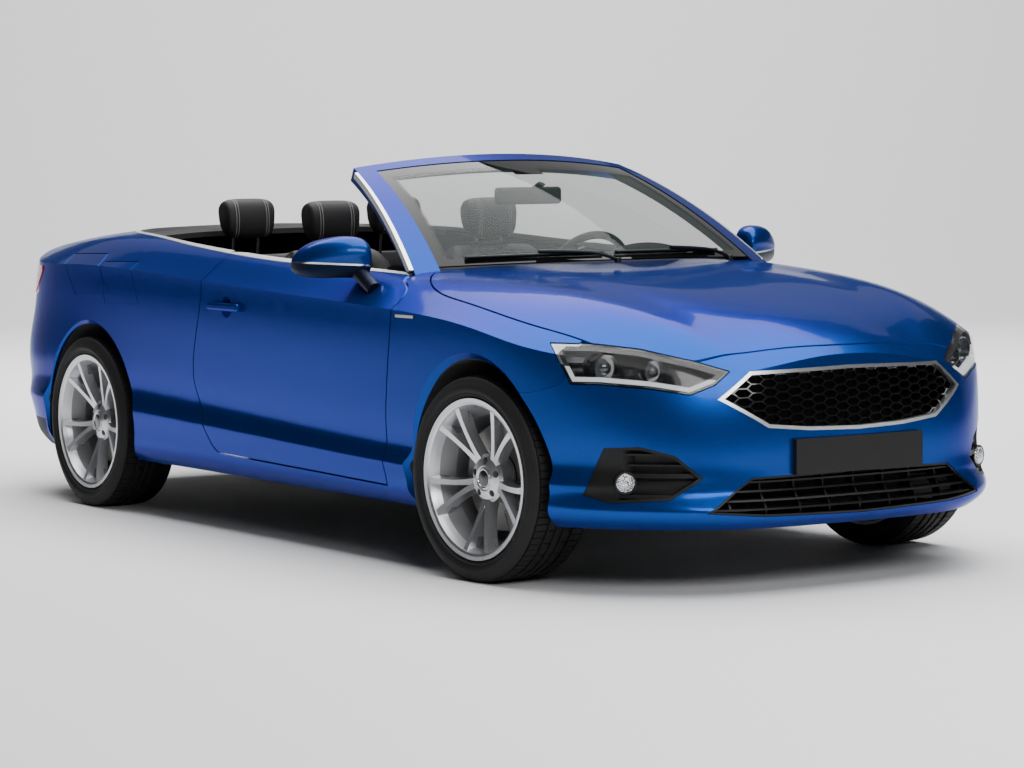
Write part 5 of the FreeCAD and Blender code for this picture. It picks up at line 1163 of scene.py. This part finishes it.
def puffed(piece, cap, seam, voxel=VOXEL, finer=0):
    """Fills a sewn cover with air pressure. Points on a seam stay, and none moves past the cap."""
    modified(piece, "SUBSURF", levels=SMOOTHING, render_levels=SMOOTHING)
    modified(piece, "REMESH", mode="VOXEL", voxel_size=voxel, use_smooth_shade=True)
    before = [point.co.copy() for point in piece.data.vertices]
    held_points = [point.index for point in piece.data.vertices if seam(point.co)]
    group = piece.vertex_groups.new(name="seam")
    group.add(held_points, 1.0, "REPLACE")
    grasp(piece)
    cloth = piece.modifiers.new("cloth", "CLOTH")
    cloth.settings.quality = 3
    cloth.settings.use_pressure = True
    cloth.settings.uniform_pressure_force = PRESSURE
    cloth.settings.effector_weights.gravity = 0
    cloth.settings.vertex_group_mass = "seam"
    cloth.point_cache.frame_start = 1
    cloth.point_cache.frame_end = PUFF_FRAMES
    for frame_number in range(1, PUFF_FRAMES + 1):
        bpy.context.scene.frame_set(frame_number)
    bpy.ops.object.modifier_apply(modifier=cloth.name)
    bpy.context.scene.frame_set(1)
    for point, home in zip(piece.data.vertices, before):
        move = point.co - home
        if move.length > cap:
            point.co = home + move * (cap / move.length)
    piece.vertex_groups.clear()
    if finer:
        modified(piece, "SUBSURF", levels=finer, render_levels=finer)
    grasp(piece)
    bpy.ops.object.shade_smooth()
    return piece


def seat_loop(line, y, hollow, sink, inward=0.0):
    """One station of a cushion: its side line with the sitting face sunk along a way."""
    centre_x = sum(point[0] for point in line) / len(line)
    centre_z = sum(point[1] for point in line) / len(line)
    loop = []
    for x, z, share in line:
        x, z = x + (centre_x - x) * inward, z + (centre_z - z) * inward
        loop.append((x + hollow[0] * sink * share, y, z + hollow[1] * sink * share))
    return loop


def upholstered(name, line, hollow, stations, narrow=()):
    """A seat part: its side line at stations across the seat, narrowed towards the top."""
    loops = [seat_loop(line, y, hollow, sink, inward) for y, sink, inward in stations]
    piece = bridged(name, loops)
    for low, high, share in narrow:
        choose(piece, "VERT", lambda spot, way, size: low < spot.z <= high)
        bpy.ops.transform.resize(value=(1, share, 1), center_override=(0, 0, 0))
        bpy.ops.object.mode_set(mode="OBJECT")
    return piece


def both_sides(half):
    """Stations of one side, outermost last, and their mirror images."""
    return [(-y, sink, inward) for y, sink, inward in reversed(half)] + [
        (y, sink, inward) for y, sink, inward in half if y > 0]


def hide_finish(name, seams, creases=0.5):
    """Black hide with a fine grain, soft creases and pale stitches beside each seam.

    A seam is the distance to it, the way along it and a mask of where it is sewn."""
    hide = Finish(name, (0.015, 0.015, 0.016), 0.5, slot="black_leather",
                  Specular_IOR_Level=0.28)
    grain = hide.cells(820.0)
    fold = hide.noise(14.0, 4.0)
    thread = None
    for distance, along, where in seams(hide):
        dash = (along * (2 * math.pi / STITCH_STEP)).wave().above(-0.35)
        row = (distance.size() - STITCH_GAP).size().below(THREAD) * dash * where
        thread = row if thread is None else thread.either(row)
    base = hide.mix(fold, (0.011, 0.011, 0.012), (0.022, 0.022, 0.023))
    hide.feed("Base Color", hide.mix(thread, base, (0.42, 0.41, 0.39)))
    hide.bump(grain * 0.5 + fold * creases + thread * 1.4, 0.5, 0.0010)
    hide.feed("Roughness", grain * 0.18 + fold * 0.16 + 0.34)
    return hide


# A front cushion: side line from the back of its base round under the thighs, X, Z and how
# far each point follows the hollow.
CUSHION_LINE = [(-0.128, 0.352, 0), (0.02, 0.340, 0), (0.20, 0.348, 0), (0.345, 0.362, 0),
                (0.402, 0.390, 0), (0.412, 0.430, 0.1), (0.385, 0.462, 0.4), (0.300, 0.470, 0.8),
                (0.180, 0.462, 1), (0.050, 0.449, 1), (-0.060, 0.438, 0.9), (-0.118, 0.420, 0.4),
                (-0.134, 0.385, 0)]
SEAM_Y = 0.150
CUSHION_HALF = [(0.0, 0.024, 0.0), (0.060, 0.024, 0.0), (0.120, 0.023, 0.0), (0.143, 0.026, 0.0),
                (0.157, 0.020, 0.0), (0.180, 0.0, 0.0), (0.213, -0.004, 0.0), (0.236, 0.010, 0.03),
                (0.243, 0.018, 0.12)]
CUSHION_TUCKS = (0.205, 0.115, 0.025)
BACK_TUCKS = (0.610, 0.700, 0.790)
SHOULDER_Z = 0.80
SHOULDER_TAPER = 0.32


def cushion_seam(spot):
    side = abs(abs(spot.y) - SEAM_Y) < SEAM_HALF and spot.z > 0.40 and spot.x < 0.36
    front = abs(spot.x - 0.300) < SEAM_HALF and abs(spot.y) < SEAM_Y and spot.z > 0.40
    tucks = (min(abs(spot.x - tuck) for tuck in CUSHION_TUCKS) < SEAM_HALF * 0.75
             and abs(spot.y) < SEAM_Y and spot.z > 0.40)
    below = spot.z < 0.362
    return side or front or tucks or below


def seam_reach(z):
    """How far out the backrest's side seams lie at a height."""
    return SEAM_Y - SHOULDER_TAPER * max(0.0, z - SHOULDER_Z)


def back_front(spot):
    """Whether a point lies on the backrest's front face."""
    return spot.x > -0.098 - (spot.z - 0.40) * 0.38 - 0.035


def back_seam(spot):
    side = abs(abs(spot.y) - seam_reach(spot.z)) < SEAM_HALF and back_front(spot) and spot.z > 0.44
    cross = (min(abs(spot.z - tuck) for tuck in BACK_TUCKS) < SEAM_HALF * 0.75
             and abs(spot.y) < seam_reach(spot.z) and back_front(spot))
    top = abs(spot.z - 0.900) < SEAM_HALF and abs(spot.y) < seam_reach(spot.z) and back_front(spot)
    behind = not back_front(spot) and abs(abs(spot.y) - seam_reach(spot.z) - 0.045) < SEAM_HALF
    return side or cross or top or behind


BACK_LINE = [(-0.095, 0.392, 0), (-0.072, 0.425, 0.5), (-0.098, 0.500, 1), (-0.140, 0.585, 1),
             (-0.180, 0.700, 1), (-0.215, 0.820, 1), (-0.252, 0.930, 0.8), (-0.275, 0.985, 0.3),
             (-0.312, 1.010, 0), (-0.355, 1.008, 0), (-0.383, 0.980, 0), (-0.378, 0.920, 0),
             (-0.330, 0.780, 0), (-0.285, 0.650, 0), (-0.235, 0.510, 0), (-0.186, 0.385, 0),
             (-0.140, 0.366, 0)]
BACK_HALF = [(0.0, 0.026, 0.0), (0.060, 0.026, 0.0), (0.120, 0.026, 0.0), (0.143, 0.030, 0.0),
             (0.157, 0.020, 0.0), (0.182, -0.002, 0.0), (0.215, -0.004, 0.0), (0.238, 0.020, 0.03),
             (0.245, 0.030, 0.12)]
NARROW = ((0.81, 0.95, 0.95), (0.95, 0.99, 0.84), (0.99, 1.02, 0.76))

HEAD_LINE = [(-0.300, 1.032, 0), (-0.288, 1.080, 0), (-0.290, 1.145, 0), (-0.308, 1.182, 0),
             (-0.345, 1.191, 0), (-0.382, 1.182, 0), (-0.400, 1.145, 0), (-0.394, 1.075, 0),
             (-0.362, 1.030, 0)]
HEAD_HALF = [(0.0, 0, 0.0), (0.045, 0, 0.0), (0.080, 0, 0.02), (0.101, 0, 0.10), (0.110, 0, 0.30)]
HEAD_NARROW = ((1.02, 1.04, 0.86), (1.04, 1.10, 0.94), (1.18, 1.20, 0.90))
HEAD_SEAM = 0.066


def head_seam(spot):
    return abs(abs(spot.y) - HEAD_SEAM) < SEAM_HALF * 0.6 or spot.z < 1.036


def cushion_rows(place_y):
    def rows(hide):
        side = (hide.place("Y").size() - place_y).size()
        above = hide.place("Z").above(0.41) * hide.place("X").below(0.355)
        return [(side - SEAM_Y, hide.place("X"), above)]
    return rows


def back_rows(place_y):
    def rows(hide):
        side = (hide.place("Y").size() - place_y).size()
        height = hide.place("Z")
        reach = SEAM_Y - (height - SHOULDER_Z).math("MAXIMUM", 0.0) * SHOULDER_TAPER
        return [(side - reach, height, height.above(0.46) * hide.place("Z").below(0.985))]
    return rows


def head_rows(place_y, middle_x, low):
    def rows(hide):
        side = (hide.place("Y").size() - place_y).size()
        ring = (hide.place("Z") - 1.11).math("ARCTAN2", hide.place("X") - middle_x)
        return [(side - HEAD_SEAM, ring * 0.075, hide.place("Z").above(low))]
    return rows


cushion = puffed(upholstered("cushion", CUSHION_LINE, (0, -1), both_sides(CUSHION_HALF)),
                 0.022, cushion_seam)
backrest = puffed(upholstered("backrest", BACK_LINE, (-0.94, -0.34), both_sides(BACK_HALF), NARROW),
                  0.022, back_seam)
headrest = puffed(upholstered("headrest", HEAD_LINE, (0, 0), both_sides(HEAD_HALF), HEAD_NARROW),
                  0.012, head_seam, finer=1)
cushion_hide = hide_finish("front_cushion_hide", cushion_rows(SEAT_Y))
back_hide = hide_finish("front_backrest_hide", back_rows(SEAT_Y))
head_hide = hide_finish("front_headrest_hide", head_rows(SEAT_Y, -0.343, 1.045), 0.2)

frame_steel = Finish("seat_frame_steel", (0.05, 0.05, 0.052), 0.5, 0.6, "cast_metal")
frame_steel.feed("Roughness", frame_steel.noise(80.0) * 0.2 + 0.4)
posts_chrome = Finish("headrest_posts", (0.62, 0.63, 0.65), 0.2, 1.0, "bright_trim")
posts_chrome.feed("Roughness", posts_chrome.noise(120.0) * 0.1 + 0.16)


def post_pair(name, line):
    """A headrest's two posts at the car's middle, along a line of X and Z."""
    return joined(name, *[tube("post", [(x, across, z) for x, z in line], 0.007, 12)
                          for across in (-0.055, 0.055)])


posts = post_pair("posts", ((-0.340, 0.985), (-0.345, 1.030), (-0.350, 1.075)))
shell = slab("shell", (-0.012, -0.165, 0.0), (0.006, 0.165, 0.40), 0.005)
shell.data.transform(Matrix.Translation((-0.243, 0, 0.500))
                     @ Matrix.Rotation(math.radians(-20.5), 4, "Y"))
base_parts = [slab("pan", (-0.13, -0.205, 0.286), (0.34, 0.205, 0.348), 0.012), shell,
              slab("collar", (-0.368, -0.072, 1.004), (-0.318, 0.072, 1.020), 0.005)]
for edge in (-1, 1):
    rail = sorted((edge * 0.180, edge * 0.205))
    base_parts.append(slab("rail", (-0.15, rail[0], 0.256), (0.33, rail[1], 0.282), 0.004, 2))
    valance = slab("valance", (-0.165, edge * 0.225 - 0.012, 0.300),
                   (0.300, edge * 0.225 + 0.012, 0.372), 0.010)
    choose(valance, "VERT", lambda spot, way, size: spot.x < -0.12 and spot.z > 0.34)
    bpy.ops.transform.translate(value=(0, 0, 0.030))
    bpy.ops.object.mode_set(mode="OBJECT")
    base_parts.append(valance)
    base_parts += [slab("foot", (x - 0.022, edge * 0.190 - 0.022, 0.2553),
                        (x + 0.022, edge * 0.190 + 0.022, 0.300), 0.004, 2)
                   for x in (-0.12, 0.29)]
base = tidied(joined("seat_base", *base_parts))

for side, sign in SIDES:
    node = "seat_front_" + side
    place = Matrix.Translation((0, sign * SEAT_Y, 0))
    for made, name, finish, fill in ((cushion, "cushion", cushion_hide, 0.7),
                                     (backrest, "backrest", back_hide, 0.7),
                                     (headrest, "headrest", head_hide, 0.85)):
        part = finished(copied(made, "front_%s_%s" % (name, side), place), finish, "body")
        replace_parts(part, node)
    for made, name, finish in ((posts, "headrest_posts_", posts_chrome),
                               (base, "seat_base_", soft_black)):
        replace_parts(finished(copied(made, name + side, place), finish, "body"), node)
discarded(cushion, backrest, headrest, posts, base)

# The rear seat is one bench of foam under the same hide, with two shaped places, a low back
# and two headrests on posts. It stands on the tub's floor.
REAR_CUSHION_LINE = [(-0.900, 0.305, 0), (-0.70, 0.302, 0), (-0.520, 0.304, 0), (-0.466, 0.330, 0),
                     (-0.455, 0.385, 0.1), (-0.478, 0.424, 0.4), (-0.560, 0.428, 0.9),
                     (-0.680, 0.420, 1), (-0.800, 0.410, 1), (-0.885, 0.402, 0.6),
                     (-0.912, 0.360, 0)]
REAR_BACK_LINE = [(-0.895, 0.392, 0), (-0.882, 0.425, 0.4), (-0.905, 0.520, 1), (-0.940, 0.650, 1),
                  (-0.972, 0.780, 1), (-1.000, 0.900, 0.8), (-1.020, 0.958, 0.3),
                  (-1.052, 0.974, 0),
                  (-1.086, 0.966, 0), (-1.104, 0.935, 0), (-1.085, 0.800, 0), (-1.060, 0.600, 0),
                  (-1.030, 0.430, 0), (-1.005, 0.386, 0), (-0.950, 0.376, 0)]
BENCH_HALF = [(0.0, -0.002, 0.0), (0.060, 0.0, 0.0), (0.112, 0.006, 0.0), (0.135, 0.018, 0.0),
              (0.160, 0.022, 0.0), (0.260, 0.026, 0.0), (0.360, 0.026, 0.0), (0.440, 0.022, 0.0),
              (0.463, 0.016, 0.0), (0.490, 0.0, 0.0), (0.512, 0.002, 0.04), (0.522, 0.010, 0.14)]
REAR_SEAMS = (0.128, 0.455)
REAR_TUCKS = (0.600, 0.690, 0.780)


def rear_back_front(spot):
    return spot.x > -0.955 - (spot.z - 0.42) * 0.20


def rear_seam(spot):
    side = min(abs(abs(spot.y) - seam) for seam in REAR_SEAMS) < SEAM_HALF
    return side and (spot.z > 0.385) and (spot.x > -0.87 or rear_back_front(spot))


def rear_back_seam(spot):
    among = REAR_SEAMS[0] < abs(spot.y) < REAR_SEAMS[1]
    tucks = min(abs(spot.z - tuck) for tuck in REAR_TUCKS) < SEAM_HALF * 0.75
    edge = abs(spot.z - 0.880) < SEAM_HALF
    return rear_seam(spot) or (among and (tucks or edge) and rear_back_front(spot))


def rear_rows(hide):
    side = hide.place("Y").size()
    return [(side - seam, hide.place("X") + hide.place("Z"), hide.place("Z").above(0.0))
            for seam in REAR_SEAMS]


rear_hide = hide_finish("rear_bench_hide", rear_rows)
REAR_VOXEL = 0.009
stations = both_sides(BENCH_HALF)
bench = puffed(upholstered("rear_cushion", REAR_CUSHION_LINE, (0, -1), stations), 0.022,
               rear_seam, REAR_VOXEL)
bench_back = puffed(upholstered("rear_backrest", REAR_BACK_LINE, (-0.97, -0.24), stations), 0.022,
                    rear_back_seam, REAR_VOXEL)
rear_head = puffed(upholstered("rear_headrest",
                               [(x - 0.674, z, share) for x, z, share in HEAD_LINE], (0, 0),
                               both_sides(HEAD_HALF), HEAD_NARROW), 0.012, head_seam, finer=1)
rear_head_hide = hide_finish("rear_headrest_hide", head_rows(REAR_Y, -1.017, 1.03), 0.2)
for part, finish in ((bench, rear_hide), (bench_back, rear_hide)):
    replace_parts(finished(part, finish, "body"), "rear_seat")
posts = post_pair("posts", ((-1.038, 0.955), (-1.030, 1.010), (-1.024, 1.070)))
rear_posts = []
for side, sign in SIDES:
    place = Matrix.Translation((0, sign * REAR_Y, 0))
    part = copied(rear_head, "rear_headrest_" + side, place)
    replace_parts(finished(part, rear_head_hide, "body"), "rear_seat")
    rear_posts.append(copied(posts, "posts_" + side, place))
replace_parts(finished(joined("rear_headrest_posts", *rear_posts), posts_chrome, "body"), "rear_seat")
discarded(rear_head, posts)

# The studio: a pale seamless paper that curves up into a low wall behind the car. One broad
# softbox hangs overhead, smaller ones light the nose and the hood, and one the wall.
FLOOR_REACH = 22.0
SWEEP_START = 13.0
SWEEP_RADIUS = 5.0
SWEEP_TURN = math.radians(72)
back_way = Vector((math.cos(CAMERA_YAW), math.sin(CAMERA_YAW), 0))
side_line = back_way.cross(Vector((0, 0, 1)))
rise = [back_way * -FLOOR_REACH, back_way * SWEEP_START]
for count in range(1, 13):
    angle = SWEEP_TURN * count / 12
    rise.append(back_way * (SWEEP_START + SWEEP_RADIUS * math.sin(angle))
                + Vector((0, 0, SWEEP_RADIUS * (1 - math.cos(angle)))))
sweep = drawn("studio_sweep", [point - side_line * FLOOR_REACH for point in rise])
choose(sweep, "EDGE", lambda spot, way, size: True)
bpy.ops.mesh.extrude_region_move(
    TRANSFORM_OT_translate={"value": side_line * (2 * FLOOR_REACH)})
bpy.ops.object.mode_set(mode="OBJECT")
bpy.ops.object.shade_smooth()
backdrop = Finish("studio_paper", (0.88, 0.882, 0.89), 0.8)
backdrop.feed("Roughness", backdrop.noise(3.0) * 0.1 + 0.75)
sweep.data.materials.append(backdrop.material)
world = bpy.data.worlds.new("studio")
world.use_nodes = True
world.node_tree.nodes["Background"].inputs[0].default_value = (0.78, 0.80, 0.83, 1)
world.node_tree.nodes["Background"].inputs[1].default_value = 0.05
bpy.context.scene.world = world


def soft_light(name, place, target, width, depth, power):
    """A rectangular softbox that faces a target."""
    data = bpy.data.lights.new(name, "AREA")
    data.shape = "RECTANGLE"
    data.size = width
    data.size_y = depth
    data.energy = power
    box = bpy.data.objects.new(name, data)
    way = Vector(target) - Vector(place)
    box.rotation_euler = way.to_track_quat("-Z", "Y").to_euler()
    box.location = place
    bpy.context.scene.collection.objects.link(box)


soft_light("overhead_softbox", (-0.5, 1.3, 7.5), (-0.5, 1.3, 0), 15.0, 8.0, 1900)
soft_light("nose_softbox", (7.5, -1.5, 3.6), (2.2, -0.2, 0.4), 5.0, 2.0, 230)
soft_light("hood_softbox", tuple(back_way * 12 + Vector((0, 0, 7.0))), (0, 0, 0.8), 14.0, 5.0, 110)
soft_light("backdrop_light", tuple(back_way * 7 + Vector((0, 0, 9.0))),
           tuple(back_way * 15 + Vector((0, 0, 1.5))), 16.0, 4.0, 1900)
